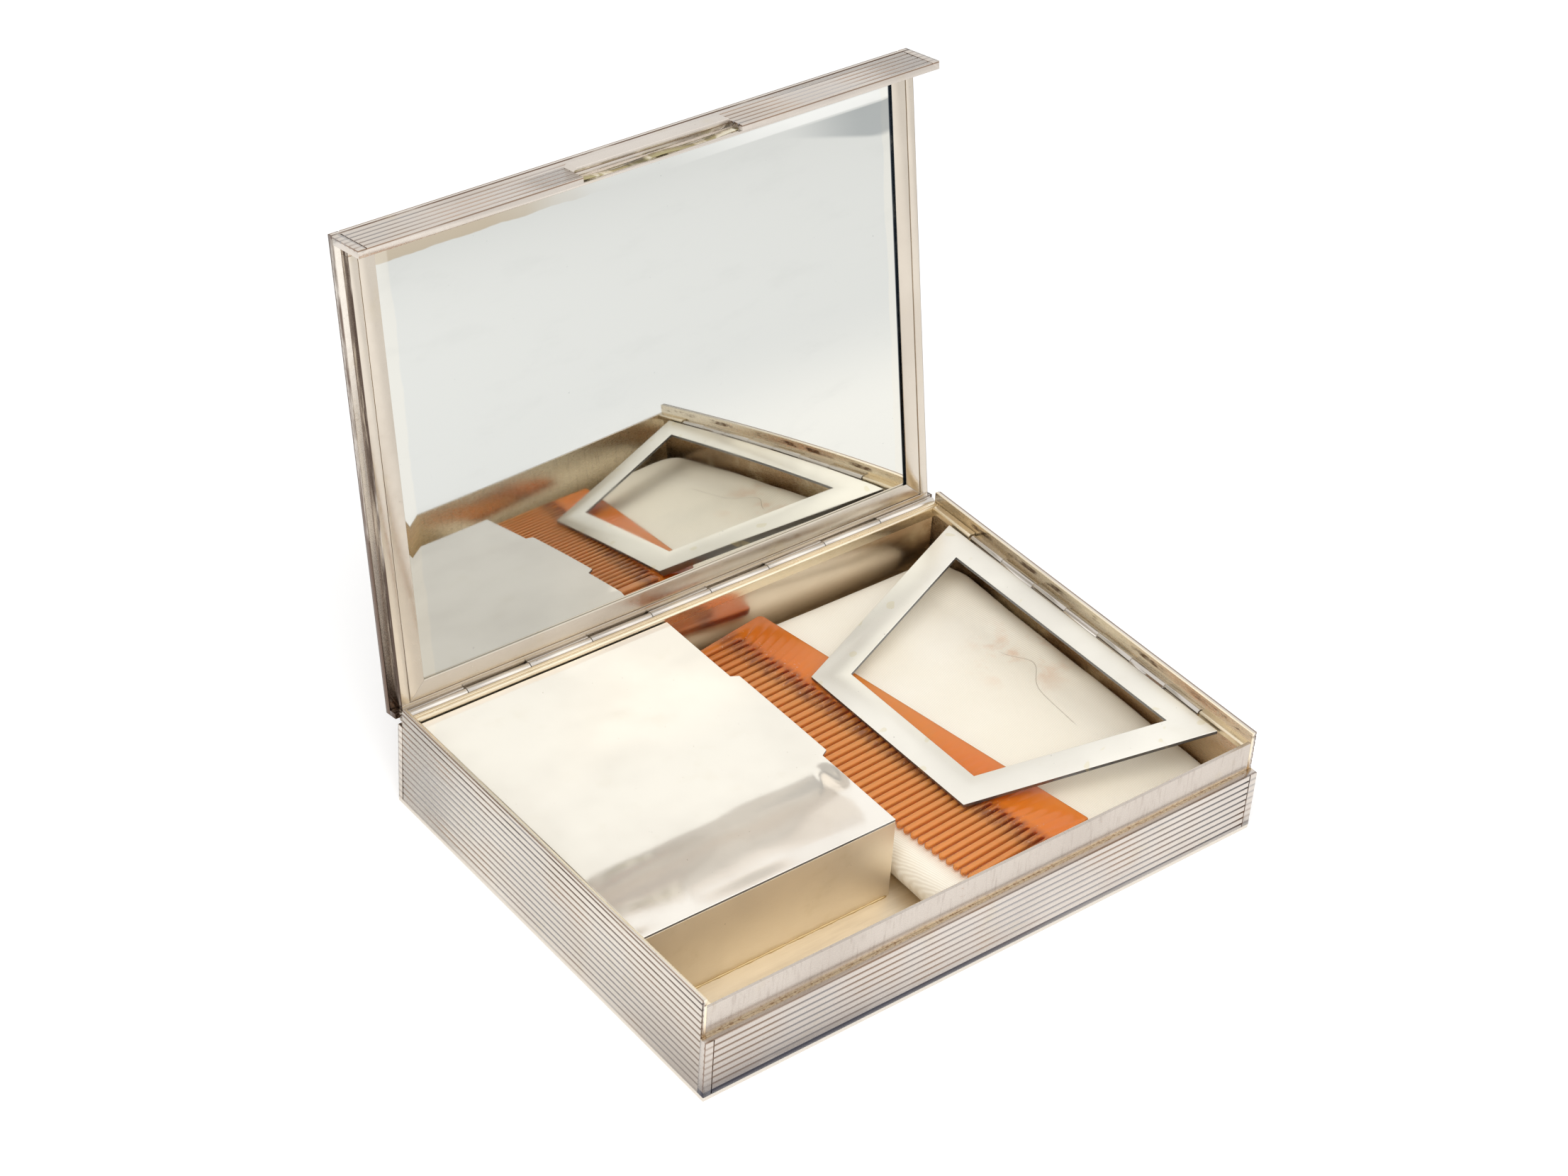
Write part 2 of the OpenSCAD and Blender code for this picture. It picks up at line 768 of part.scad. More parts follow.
// A mitred bezel strip, facing down, with its outer edge along y = 0 and a line beside the rail.
// The strips that it meets are w1 wide at its left end and w2 wide at its right end.
module bezel_strip(half_l, w, w1, w2) {
    line_z = bezel_t / 2;
    linear_extrude(bezel_t)
        polygon([
            [-half_l + bezel_line, bezel_line],
            [half_l - bezel_line, bezel_line],
            [half_l - bezel_line - w2, bezel_line + w],
            [-half_l + bezel_line + w1, bezel_line + w]
        ]);
    translate([0, 0, line_z])
        linear_extrude(bezel_t - line_z)
            polygon([
                [-half_l, 0],
                [half_l, 0],
                [half_l - bezel_line, bezel_line],
                [-half_l + bezel_line, bezel_line]
            ]);
}

module bezel_front() {
    color("silver")
        lid_place()
            translate([0, bezel_y1, rim_z])
                bezel_strip(bezel_x, bezel_front_w, bezel_w, bezel_w);
}

module bezel_back() {
    color("silver")
        lid_place()
            translate([0, bezel_y2, rim_z])
                mirror([0, 1, 0])
                    bezel_strip(bezel_x, bezel_w, bezel_w, bezel_w);
}

module bezel_left() {
    color("silver")
        lid_place()
            translate([-bezel_x, (bezel_y1 + bezel_y2) / 2, rim_z])
                rotate([0, 0, -90])
                    bezel_strip((bezel_y2 - bezel_y1) / 2, bezel_w, bezel_w, bezel_front_w);
}

module bezel_right() {
    color("silver")
        lid_place()
            translate([bezel_x, (bezel_y1 + bezel_y2) / 2, rim_z])
                rotate([0, 0, 90])
                    bezel_strip((bezel_y2 - bezel_y1) / 2, bezel_w, bezel_front_w, bezel_w);
}

// A box with the given corners in X and Y, from z1 to z2
module slab(x1, x2, y1, y2, z1, z2) {
    translate([x1, y1, z1])
        cube([x2 - x1, y2 - y1, z2 - z1]);
}

// Mirror glass, silvered side up: the bevel runs down from the opening edge of the bezel
module mirror_glass() {
    thin = 0.01;
    color("lightblue")
        lid_place() {
            slab(
                -open_x - glass_lap, open_x + glass_lap,
                open_y1 - glass_front_lap, open_y2 + glass_lap,
                glass_z, glass_z + glass_t
            );
            hull() {
                slab(-open_x, open_x, open_y1, open_y2, glass_z, glass_z + thin);
                slab(
                    -open_x + bevel_w, open_x - bevel_w,
                    open_y1 + bevel_w, open_y2 - bevel_w,
                    glass_z - bevel_h, glass_z
                );
            }
        }
}

module mirror_backing() {
    color("dimgray")
        lid_place()
            slab(
                -bezel_x, bezel_x, bezel_y1, bezel_y2,
                glass_z + glass_t, lid_under
            );
}

// Raised thumb plate over the pocket, with slanted ends
module thumb_plate() {
    depth = thumb_proud + thumb_seat;
    color("gainsboro")
        lid_place()
            translate([0, front_y + thumb_seat, pocket_top])
                linear_extrude(thumb_h)
                    polygon([
                        [-thumb_w / 2, 0],
                        [thumb_w / 2, 0],
                        [thumb_w / 2, -thumb_seat],
                        [thumb_w / 2 - thumb_slant, -depth],
                        [-thumb_w / 2 + thumb_slant, -depth],
                        [-thumb_w / 2, -thumb_seat]
                    ]);
}

// Waved strip in the pocket, whose crests bear through the slots on the front lip
module catch_spring() {
    half_l = thumb_w / 2 - spring_end_gap;
    steps = 40;
    trough_y = front_y + pocket_d - spring_t - spring_seat_gap;
    crest_y = recess_y - lid_gap - spring_t + spring_proud;
    amp = (crest_y - trough_y) / 2;
    mid_y = (crest_y + trough_y) / 2;
    xs = [for (i = [0:steps]) -half_l + 2 * half_l * i / steps];
    wave = [for (x = xs) mid_y - amp * cos(360 * (x + half_l) / spring_pitch)];
    color("gold")
        lid_place()
            translate([0, 0, spring_z])
                linear_extrude(spring_h)
                    polygon(concat(
                        [for (i = [0:steps]) [xs[i], wave[i]]],
                        [for (i = [steps:-1:0]) [xs[i], wave[i] + spring_t]]
                    ));
}

// Powder lid: a flat plate with a thumb tab on its right edge and a turned-down rim
module powder_lid() {
    rim_x1 = cover_left_x + cover_rim_in;
    rim_x2 = box_right_x - box_wall - cover_gap;
    rim_y1 = box_front_y + box_wall + cover_gap;
    rim_y2 = cover_back_y - cover_rim_back;
    color("whitesmoke") {
        slab(cover_left_x, box_right_x, box_front_y, cover_back_y, box_h, box_h + cover_t);
        translate([box_right_x, tab_y, box_h])
            linear_extrude(cover_t)
                polygon([
                    [0, -tab_w / 2],
                    [tab_out, -tab_w / 2 + tab_slant],
                    [tab_out, tab_w / 2 - tab_slant],
                    [0, tab_w / 2]
                ]);
        difference() {
            slab(rim_x1, rim_x2, rim_y1, rim_y2, box_h - cover_rim_h, box_h);
            slab(
                rim_x1 + cover_rim_t, rim_x2 - cover_rim_t,
                rim_y1 + cover_rim_t, rim_y2 - cover_rim_t,
                box_h - cover_rim_h - 1, box_h + 0.1
            );
        }
    }
}

module powder_lid_knuckles() {
    leaf_z = box_h + cover_t / 2 - cover_hinge_z;
    color("silver")
        translate([cover_hinge_x, cover_tube_y, cover_hinge_z]) {
            small_tubes(cover_tube_w, 1);
            small_webs(cover_tube_w, 1, web_in, leaf_in, leaf_z, cover_t);
        }
}

// Puts its children, drawn level from the hinge axis towards -X, at the tilt of the frame
module frame_place() {
    translate([frame_hinge_x, 0, frame_hinge_z])
        rotate([0, -frame_tilt, 0])
            children();
}

// Trapezium of the frame from x = -near to x = -far, with every slanted side moved in by inset
module frame_outline(near, far, inset) {
    run = sqrt(1 + frame_slope * frame_slope) * inset;
    y_near = frame_long / 2 - (near - leaf_in) * frame_slope - run;
    y_far = frame_long / 2 - (far - leaf_in) * frame_slope - run;
    polygon([[-near, -y_near], [-near, y_near], [-far, y_far], [-far, -y_far]]);
}

module retaining_frame() {
    color("silver")
        frame_place()
            translate([0, 0, -frame_t / 2])
                linear_extrude(frame_t)
                    difference() {
                        frame_outline(leaf_in, frame_reach, 0);
                        frame_outline(frame_hinge_band, frame_reach - frame_band, frame_band);
                    }
}

module frame_knuckles() {
    color("silver")
        frame_place() {
            small_tubes(frame_tube_w, 1);
            small_webs(frame_tube_w, 1, -leaf_in, -web_in, 0, frame_t);
        }
}

// Comb: the back lies along Y at x = 0 and the teeth point towards -X
function comb_back(y) = comb_back1 + (comb_back2 - comb_back1) * y / comb_l;
function comb_width(y) = comb_w1 + (comb_w2 - comb_w1) * y / comb_l;
function comb_slant(y) = comb_slant1 + (comb_slant2 - comb_slant1) * min(1, y / comb_fan);

// Outline of the comb, with a slanted near end and the far corner of its back rounded
module comb_outline() {
    far = [for (a = [0:15:90]) [
        comb_r * (cos(a) - 1),
        comb_l + comb_r * (sin(a) - 1)
    ]];
    polygon(concat([[-comb_w1, comb_near_rise], [0, 0]], far, [[-comb_w2, comb_l]]));
}

// One gap between two teeth, closed in a point at its root and wider towards the tips
module comb_slot(y) {
    root = comb_back(y);
    over = 3;
    reach = comb_width(y) - root + over;
    translate([-root, y])
        rotate(-comb_slant(y))
            polygon([
                [0, 0],
                [-comb_root, comb_gap / 2],
                [-reach, comb_gap / 2 + comb_flare],
                [-reach, -comb_gap / 2 - comb_flare],
                [-comb_root, -comb_gap / 2]
            ]);
}

module comb() {
    first = comb_back1 * tan(comb_slant1) + comb_guard1;
    last = comb_l - comb_guard2;
    color("darkorange")
        translate([comb_x, comb_front_y, comb_z])
            rotate([0, 0, comb_turn])
                linear_extrude(comb_t)
                    difference() {
                        comb_outline();
                        for (i = [0:comb_gaps - 1])
                            comb_slot(first + (last - first) * i / (comb_gaps - 1));
                    }
}

bottom_plate();
left_wall();
right_wall();
back_wall();
front_lip();
front_panel();
left_ledge();
right_ledge();
back_ledge();
base_hinge_knuckles();
lid_hinge_pin();
powder_box_front();
powder_box_side();
powder_base_knuckles();
powder_hinge_pin();
frame_base_knuckles();
frame_hinge_pin();
pouch();
lid_plate();
lid_flange();
lid_left_rail();
lid_right_rail();
lid_front_rail();
lid_back_rail();
lid_hinge_knuckles();
bezel_left();
bezel_right();
bezel_front();
bezel_back();
mirror_glass();
mirror_backing();
thumb_plate();
catch_spring();
powder_lid();
powder_lid_knuckles();
retaining_frame();
frame_knuckles();
comb();
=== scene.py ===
"""Reeded silver vanity case, open: mirrored lid, powder box, comb, satin pouch and retaining frame.

The case's own frame has X to the right, Y from the front panel to the hinge and Z up, with the
origin under the middle of the base. Blender works in metres, and the shapes and patterns here are
worked out in millimetres. Patterns on the lid are worked out on the shut lid, so each of its
materials first turns the open lid's coordinates shut about the hinge.
"""

import json
import math

import bmesh
import bpy
import numpy as np
from mathutils import Matrix, Vector

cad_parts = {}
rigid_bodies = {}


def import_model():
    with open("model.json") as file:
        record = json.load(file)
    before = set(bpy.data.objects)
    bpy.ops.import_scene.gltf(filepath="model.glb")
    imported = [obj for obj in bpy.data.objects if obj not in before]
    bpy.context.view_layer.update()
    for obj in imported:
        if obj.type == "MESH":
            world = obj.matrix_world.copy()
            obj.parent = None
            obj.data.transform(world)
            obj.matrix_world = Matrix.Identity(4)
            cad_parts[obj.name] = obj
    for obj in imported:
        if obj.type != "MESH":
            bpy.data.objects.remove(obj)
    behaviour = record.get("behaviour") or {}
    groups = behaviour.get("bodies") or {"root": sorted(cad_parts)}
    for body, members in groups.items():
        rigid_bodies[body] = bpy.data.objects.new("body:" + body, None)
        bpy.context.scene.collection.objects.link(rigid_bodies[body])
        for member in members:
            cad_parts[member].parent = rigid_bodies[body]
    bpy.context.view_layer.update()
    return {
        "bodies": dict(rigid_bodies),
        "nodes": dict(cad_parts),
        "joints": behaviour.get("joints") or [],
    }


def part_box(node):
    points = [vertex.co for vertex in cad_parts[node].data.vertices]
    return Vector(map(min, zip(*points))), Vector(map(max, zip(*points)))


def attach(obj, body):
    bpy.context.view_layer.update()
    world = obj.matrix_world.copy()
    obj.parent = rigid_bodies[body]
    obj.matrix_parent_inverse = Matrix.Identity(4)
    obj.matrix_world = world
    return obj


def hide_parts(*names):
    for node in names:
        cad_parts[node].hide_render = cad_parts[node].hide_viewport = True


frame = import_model()

MM = 0.001
JOINTS = {joint["name"]: joint for joint in frame["joints"]}
LID_PIVOT = Vector(JOINTS["lid_hinge"]["pos_m"])
LID_OPEN = math.radians(JOINTS["lid_hinge"]["range_deg"][1])

# The case's driving places, in millimetres

HALF_WIDTH, HALF_DEPTH, FLOOR_TOP = (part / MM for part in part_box("bottom_plate")[1])
WALL_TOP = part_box("left_wall")[1].z / MM
BACK_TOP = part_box("back_wall")[1].z / MM
LIP_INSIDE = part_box("front_lip")[1].y / MM
PANEL_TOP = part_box("front_panel")[1].z / MM
RAIL_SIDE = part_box("lid_right_rail")[1].x / MM
GLASS_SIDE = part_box("mirror_glass")[1].x / MM
SHUT_TOP = 27.5


# Node trees


class Tree:
    """A material's node tree, with short calls that add a node and feed its sockets."""

    def __init__(self, name):
        self.material = bpy.data.materials.new(name)
        self.material.use_nodes = True
        self.tree = self.material.node_tree
        self.shader = self.tree.nodes["Principled BSDF"]

    def feed(self, node, socket, value):
        """Gives a socket, named or numbered, a link or a value. A colour may have three parts."""
        target = node.inputs[socket]
        if isinstance(value, bpy.types.NodeSocket):
            self.tree.links.new(value, target)
        elif target.type == "RGBA":
            target.default_value = (*value[:3], 1)
        else:
            target.default_value = value

    def add(self, kind, *values, **settings):
        """Adds a node with these settings. The values feed its first sockets in their order."""
        node = self.tree.nodes.new("ShaderNode" + kind)
        for name, setting in settings.items():
            setattr(node, name, setting)
        for socket, value in enumerate(values):
            self.feed(node, socket, value)
        return node

    def math(self, operation, *values):
        """One number from one or two."""
        return self.add("Math", *values, operation=operation).outputs[0]

    def plus(self, a, b):
        """The sum of two numbers."""
        return self.math("ADD", a, b)

    def minus(self, a, b):
        """The first number less the second."""
        return self.math("SUBTRACT", a, b)

    def size(self, a):
        """The number without its sign."""
        return self.math("ABSOLUTE", a)

    def times(self, first, *others):
        """The product of all the numbers."""
        for other in others:
            first = self.math("MULTIPLY", first, other)
        return first

    def ramp(self, value, start, end, low=0.0, high=1.0):
        """A smooth step: low up to start, high from end on."""
        node = self.add("MapRange", value, start, end, low, high, interpolation_type="SMOOTHSTEP")
        return node.outputs[0]

    def pulse(self, value, centre, half, soft):
        """1 within half of centre, falling to 0 over soft on both sides."""
        return self.ramp(self.size(self.minus(value, centre)), half, half + soft, 1.0, 0.0)

    def mix(self, factor, a, b):
        """One colour from two: a at a factor of 0, b at 1."""
        node = self.add("Mix", factor, data_type="RGBA", clamp_factor=True)
        self.feed(node, 6, a)
        self.feed(node, 7, b)
        return node.outputs[2]

    def noise(self, vector, scale, detail=2.0, rough=0.5):
        """Soft noise from 0 to 1 with its mean near a half; scale is in cells per millimetre."""
        node = self.add("TexNoise", vector)
        self.feed(node, "Scale", scale)
        self.feed(node, "Detail", detail)
        self.feed(node, "Roughness", rough)
        return node.outputs[0]

    def stretch(self, vector, factors):
        """The coordinates times three factors, which draws a pattern out along an axis."""
        return self.add("VectorMath", vector, factors, operation="MULTIPLY").outputs[0]

    def bump(self, height, distance, strength=1.0, normal=None):
        """A normal from a height in units of distance, which is in metres."""
        node = self.add("Bump")
        self.feed(node, "Height", height)
        self.feed(node, "Distance", distance)
        self.feed(node, "Strength", strength)
        if normal is not None:
            self.feed(node, "Normal", normal)
        return node.outputs[0]

    def case_mm(self, shut=False):
        """Object coordinates in millimetres; shut turns an open lid's back to its shut place."""
        node = self.add("Mapping", self.add("TexCoord").outputs["Object"])
        node.inputs["Scale"].default_value = (1 / MM,) * 3
        if shut:
            turn = Matrix.Rotation(LID_OPEN, 3, "X")
            node.inputs["Rotation"].default_value = (LID_OPEN, 0, 0)
            node.inputs["Location"].default_value = (LID_PIVOT - turn @ LID_PIVOT) / MM
        return node.outputs[0]

    def axes(self, vector):
        """The three parts of a vector."""
        return self.add("SeparateXYZ", vector).outputs[:3]

    def facing_up(self):
        """1 on faces that face up or down, 0 on upright ones."""
        return self.size(self.axes(self.add("TexCoord").outputs["Normal"])[2])

    def finish(self, **values):
        """Feeds the shader's own sockets and returns the material."""
        for name, value in values.items():
            self.feed(self.shader, name.replace("_", " "), value)
        return self.material


def tone(red, green, blue):
    """A linear colour from an sRGB one written in 0 to 255."""
    parts = [part / 255 for part in (red, green, blue)]
    return tuple(p / 12.92 if p <= 0.04045 else ((p + 0.055) / 1.055) ** 2.4 for p in parts)


# Silver

CASE_TONE = tone(228, 220, 209)
INNER_TONE = tone(246, 232, 207)
BACK_INNER_TONE = tone(234, 220, 200)
LIP_TONE = tone(206, 196, 186)
LIP_INNER_TONE = tone(240, 226, 202)
PANEL_TONE = tone(218, 209, 200)
FLANGE_TONE = tone(214, 205, 195)
LEDGE_TONE = tone(247, 232, 204)
RIM_TONE = tone(213, 203, 189)
THUMB_TONE = tone(219, 210, 200)
HINGE_TONE = tone(214, 207, 198)
PIN_TONE = tone(160, 150, 138)
FITTING_TONE = tone(249, 245, 234)
COVER_TONE = tone(246, 240, 230)
GILT_TONE = tone(178, 168, 128)
SOLDER_TONE = tone(222, 198, 152)
TARNISH_TONE = tone(104, 84, 72)
GROOVE_TONE = tone(148, 124, 106)
REED_SHADE_TONE = tone(150, 150, 152)
STRAW_TONE = tone(205, 188, 146)
DIRT_TONE = tone(74, 60, 56)
EDGE_REFLECTION_TONE = tone(62, 70, 88)


def aged(t, place, base, stain):
    """Aged silver: broad drifts of tarnish, straw-coloured stains and small dark specks."""
    drift = t.ramp(t.noise(place, 0.035, 3.0), 0.35, 0.7)
    colour = t.mix(drift, base, t.mix(0.12, base, TARNISH_TONE))
    patches = t.noise(place, 0.12, 4.0, 0.55)
    colour = t.mix(t.ramp(patches, 0.56, 0.8, 0.0, stain), colour, STRAW_TONE)
    specks = t.noise(place, 1.0, 2.0, 0.5)
    return t.mix(t.ramp(specks, 0.76, 0.8, 0.0, 0.4), colour, TARNISH_TONE)


def filled_grooves(t, place, colour, depth):
    """Tarnish in the grooves, from 0.02 to 0.5 under the face, thinner where noise wears it off."""
    dirt = t.times(t.ramp(depth, 0.02, 0.2), t.ramp(depth, 0.32, 0.5, 1.0, 0.0))
    worn = t.noise(t.stretch(place, (0.1, 0.1, 1.0)), 0.4, 4.0, 0.6)
    line = t.mix(t.ramp(worn, 0.52, 0.75), GROOVE_TONE, TARNISH_TONE)
    return t.mix(t.times(dirt, t.ramp(worn, 0.2, 0.45, 0.6, 1.0)), colour, line)


def painted_reed_shade(t, place, colour, depth, across, first, pitch):
    """Painted shade of the rounded reeds, strongest at the grooves, which lie a pitch apart."""
    along = t.math("DIVIDE", t.minus(across, first), pitch)
    away = t.size(t.minus(t.math("FRACT", along), 0.5))
    # Painted shade: darkest beside each groove, fading towards the middle of each reed.
    reed_shading = t.times(
        t.ramp(away, 0.22, 0.46), t.ramp(depth, 0.0, 0.1, 0.55, 0.8),
        t.ramp(depth, 0.5, 0.7, 1.0, 0.0),
    )
    reed_shading_tint = t.mix(t.ramp(t.noise(place, 0.05, 2.0), 0.4, 0.6), GROOVE_TONE, REED_SHADE_TONE)
    return t.mix(reed_shading, colour, reed_shading_tint)


def silver(
    name, base=CASE_TONE, shut=False, groove=None, inner=None, rough=0.26, stain=0.25,
    brushed=(0.15, 0.15, 1.0), edge_reflection=0.0, marks=None, reeds=None, metal=1.0,
):
    """Worn silver.

    groove is (axis, level): tarnish fills what lies just under that level, and inner is the tone
    of faces more than 0.9 mm under it. reeds is (axis, first groove, pitch): painted shade of the
    rounded reeds lies over them, strongest at the grooves. The dark edge argument mixes a painted
    dark reflection into faces that stand upright on the piece.
    metal under 1 is a haze of fine scratches. marks takes (tree, place, colour) and returns the
    colour with the piece's own marks.
    """
    t = Tree(name)
    place = t.case_mm(shut)
    parts = dict(zip("XYZ", t.axes(place)))
    if groove:
        axis, level = groove
        depth = t.minus(level, t.size(parts[axis]))
        if inner:
            base = t.mix(t.ramp(depth, 0.7, 0.9), base, inner)
    colour = aged(t, place, base, stain)
    if groove:
        colour = filled_grooves(t, place, colour, depth)
    # Painted shade of the rounded reeds, strongest beside the grooves.
    if reeds:
        axis, first, pitch = reeds
        colour = painted_reed_shade(t, place, colour, depth, parts[axis], first, pitch)
    # Painted dark reflection on faces that stand upright.
    if edge_reflection:
        colour = t.mix(t.ramp(t.facing_up(), 0.35, 0.6, edge_reflection, 0.0), colour, EDGE_REFLECTION_TONE)
    if marks:
        colour = marks(t, place, colour)
    scratch = t.noise(t.stretch(place, brushed), 6.0, 4.0, 0.7)
    roughness = t.ramp(scratch, 0.2, 0.8, rough * 0.75, rough * 1.3)
    normal = t.bump(scratch, 0.003 * MM, 0.3)
    return t.finish(Base_Color=colour, Metallic=metal, Roughness=roughness, Normal=normal)


# Marks of single pieces


def cloudy_patches(t, place, colour, where, tint, amount, scale=0.2, span=(0.42, 0.62), drawn=None):
    """Mixes a tint in cloudy patches into the colour where a mask is 1, for dirt, tarnish and
    painted shade alike.

    The cloud grows from nothing to amount over a span of the noise. drawn stretches it.
    """
    if drawn:
        place = t.stretch(place, drawn)
    cloud = t.ramp(t.noise(place, scale, 5.0, 0.65), *span, 0.0, amount)
    return t.mix(t.times(cloud, where), colour, tint)


def wall_marks(t, place, colour):
    """Marks of the side walls.

    Dirt darkens the high grooves outside. The outer faces carry painted shade, strongest low down
    and at the front. Inside, brown tarnish runs along the top, and yellower tarnish with painted
    shade lies low down.
    """
    x, y, z = t.axes(place)
    out = t.size(x)
    grooves = t.times(
        t.pulse(out, HALF_WIDTH - 0.25, 0.12, 0.08), t.ramp(z, 16.5, 24.0),
        t.ramp(z, WALL_TOP - 0.3, WALL_TOP - 0.2, 1.0, 0.0),
    )
    colour = cloudy_patches(t, place, colour, grooves, DIRT_TONE, 0.95, 0.4, (0.35, 0.6), (1, 0.15, 1))
    inside = t.ramp(out, HALF_WIDTH - 0.7, HALF_WIDTH - 0.4, 1.0, 0.0)
    band = t.times(inside, t.pulse(z, WALL_TOP - 1.2, 0.35, 0.35))
    colour = cloudy_patches(t, place, colour, band, tone(110, 84, 62), 0.95, 0.35, drawn=(1, 0.4, 1))
    # Painted shade on the outer faces, strongest low down and at the front.
    low_front_shade = t.times(
        t.ramp(out, HALF_WIDTH - 0.5, HALF_WIDTH - 0.3), t.ramp(z, 2, 24, 1.0, 0.3),
        t.ramp(y, -56, -5, 0.7, 0.1),
    )
    colour = t.mix(low_front_shade, colour, tone(150, 140, 132))
    # Yellower tarnish with painted shade, low on the inner faces.
    low = t.times(inside, t.ramp(z, 16.0, 20.0, 1.0, 0.0))
    return cloudy_patches(t, place, colour, low, tone(168, 138, 104), 0.8, 0.06, (0.3, 0.5))


def panel_marks(t, place, colour):
    """Marks of the front panel.

    Solder lies on its top against the lip, gold-brown with paler beads. Painted shade darkens its
    foot, its low left part and its left end.
    """
    x, y, z = t.axes(place)
    # Painted shade in cloudy patches low down, strongest at the left.
    low = t.times(t.ramp(z, 1.8, 6.5, 1.0, 0.0), t.ramp(x, -60, 20, 1.0, 0.1))
    colour = cloudy_patches(
        t, place, colour, low, tone(84, 78, 78), 0.6, 0.3, (0.25, 0.5), (0.2, 1, 1)
    )
    # Painted shade towards the left end.
    shade = t.times(t.ramp(x, -72, 20, 0.48, 0.0), t.ramp(z, 2.0, 14.0, 1.0, 0.3))
    colour = t.mix(shade, colour, tone(120, 110, 106))
    # Painted shade in a dark band along the foot.
    foot = t.times(t.pulse(z, FLOOR_TOP + 0.7, 0.5, 0.4), t.ramp(x, -10, 60, 1.0, 0.35), 0.85)
    colour = t.mix(foot, colour, tone(60, 62, 74))
    beads = t.noise(t.stretch(place, (0.5, 1.0, 1.0)), 2.6, 3.0, 0.6)
    solder = t.mix(t.ramp(beads, 0.38, 0.5), tone(186, 158, 128), tone(230, 214, 186))
    top = t.times(t.ramp(z, PANEL_TOP - 0.2, PANEL_TOP - 0.05), t.ramp(y, -54.75, -54.45))
    return t.mix(top, colour, solder)


def plate_marks(t, place, colour):
    """Tarnish along the side edges of the lid plate, and in the high groove at its front."""
    x, y, z = t.axes(place)
    edge = t.ramp(t.size(x), HALF_WIDTH - 0.4, HALF_WIDTH - 0.1)
    colour = cloudy_patches(t, place, colour, edge, TARNISH_TONE, 0.95, 0.3, (0.3, 0.5), (1, 0.1, 1))
    front = t.times(t.ramp(y, -55.4, -55.0, 1.0, 0.0), t.pulse(z, SHUT_TOP - 1.25, 0.2, 0.2))
    return cloudy_patches(t, place, colour, front, TARNISH_TONE, 1.0, 0.5, (0.2, 0.5), (0.1, 1, 1))


def rim_marks(t, place, colour):
    """Dark streaks on the outer sides of the lid's rails, and a brown corner along their top."""
    x, _, z = t.axes(place)
    side = t.ramp(t.size(x), RAIL_SIDE - 0.2, RAIL_SIDE - 0.05)
    colour = cloudy_patches(
        t, place, colour, side, tone(88, 72, 62), 1.0, 0.5, (0.3, 0.5), (1, 0.08, 1)
    )
    corner = t.times(t.ramp(z, 25.0, 25.9), t.ramp(t.size(x), 74.0, 74.2, 1.0, 0.0), 0.6)
    return t.mix(corner, colour, tone(130, 104, 82))


def lip_marks(t, place, colour):
    """A lighter inner face, and upright streaks and small rust spots on both faces of the lip."""
    _, y, _ = t.axes(place)
    colour = t.mix(t.ramp(y, LIP_INSIDE - 0.2, LIP_INSIDE - 0.05), colour, LIP_INNER_TONE)
    streaks = t.noise(t.stretch(place, (1.0, 1.0, 0.12)), 1.6, 3.0, 0.5)
    colour = t.mix(t.ramp(streaks, 0.5, 0.8, 0.0, 0.4), colour, tone(160, 146, 136))
    rust = t.noise(place, 0.4, 5.0, 0.7)
    return t.mix(t.ramp(rust, 0.66, 0.74, 0.0, 0.6), colour, tone(176, 132, 96))


def tray_marks(t, place, colour):
    """Long streaks of wear on the bottom of the case, and the case's own tone on its edge."""
    streaks = t.noise(t.stretch(place, (0.08, 1.0, 1.0)), 0.6, 4.0, 0.6)
    colour = t.mix(t.ramp(streaks, 0.4, 0.75, 0.0, 0.22), colour, tone(182, 158, 124))
    x, y, _ = t.axes(place)
    edge = t.math(
        "MAXIMUM", t.ramp(t.size(x), HALF_WIDTH - 0.7, HALF_WIDTH - 0.4),
        t.ramp(t.size(y), HALF_DEPTH - 0.7, HALF_DEPTH - 0.4),
    )
    return t.mix(edge, colour, CASE_TONE)


def gilt_marks(t, place, colour):
    """Pale patches where the gilding of the waved strip has worn off, and bands of painted shade
    across it for its dips.
    """
    drawn = t.stretch(place, (1.0, 0.3, 0.3))
    colour = t.mix(t.ramp(t.noise(drawn, 0.28, 2.0), 0.52, 0.6), colour, tone(226, 218, 196))
    # Painted shade in bands across the strip, standing for the shade in its dips.
    dip_shade = t.ramp(t.noise(drawn, 0.22, 2.0), 0.3, 0.42, 0.8, 0.0)
    return t.mix(dip_shade, colour, tone(92, 84, 62))


def frame_marks(t, place, colour):
    """A few faint straw-coloured drops on the retaining frame."""
    drops = t.noise(place, 0.22, 1.0, 0.4)
    return t.mix(t.ramp(drops, 0.7, 0.73, 0.0, 0.35), colour, tone(226, 214, 170))


# Pieces


def body_of(node):
    """The name of the body that a CAD node rides on."""
    parent = frame["nodes"][node].parent
    return next(name for name, body in frame["bodies"].items() if body == parent)


def piece_from(name, mesh, material, body, nodes=()):
    """A piece of the object: its mesh, finish, body and the nodes it stands for."""
    piece = bpy.data.objects.new(name, mesh)
    bpy.context.scene.collection.objects.link(piece)
    mesh.materials.clear()
    mesh.materials.append(material)
    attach(piece, body)
    if nodes:
        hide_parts(*nodes)
    return piece


def worn_edges(piece, width, segments):
    """Rounds a piece's sharp edges by a width in millimetres."""
    bevel = piece.modifiers.new("worn edges", "BEVEL")
    bevel.width = width * MM
    bevel.segments = segments
    bevel.limit_method = "ANGLE"
    bevel.angle_limit = math.radians(30)
    bevel.harden_normals = True


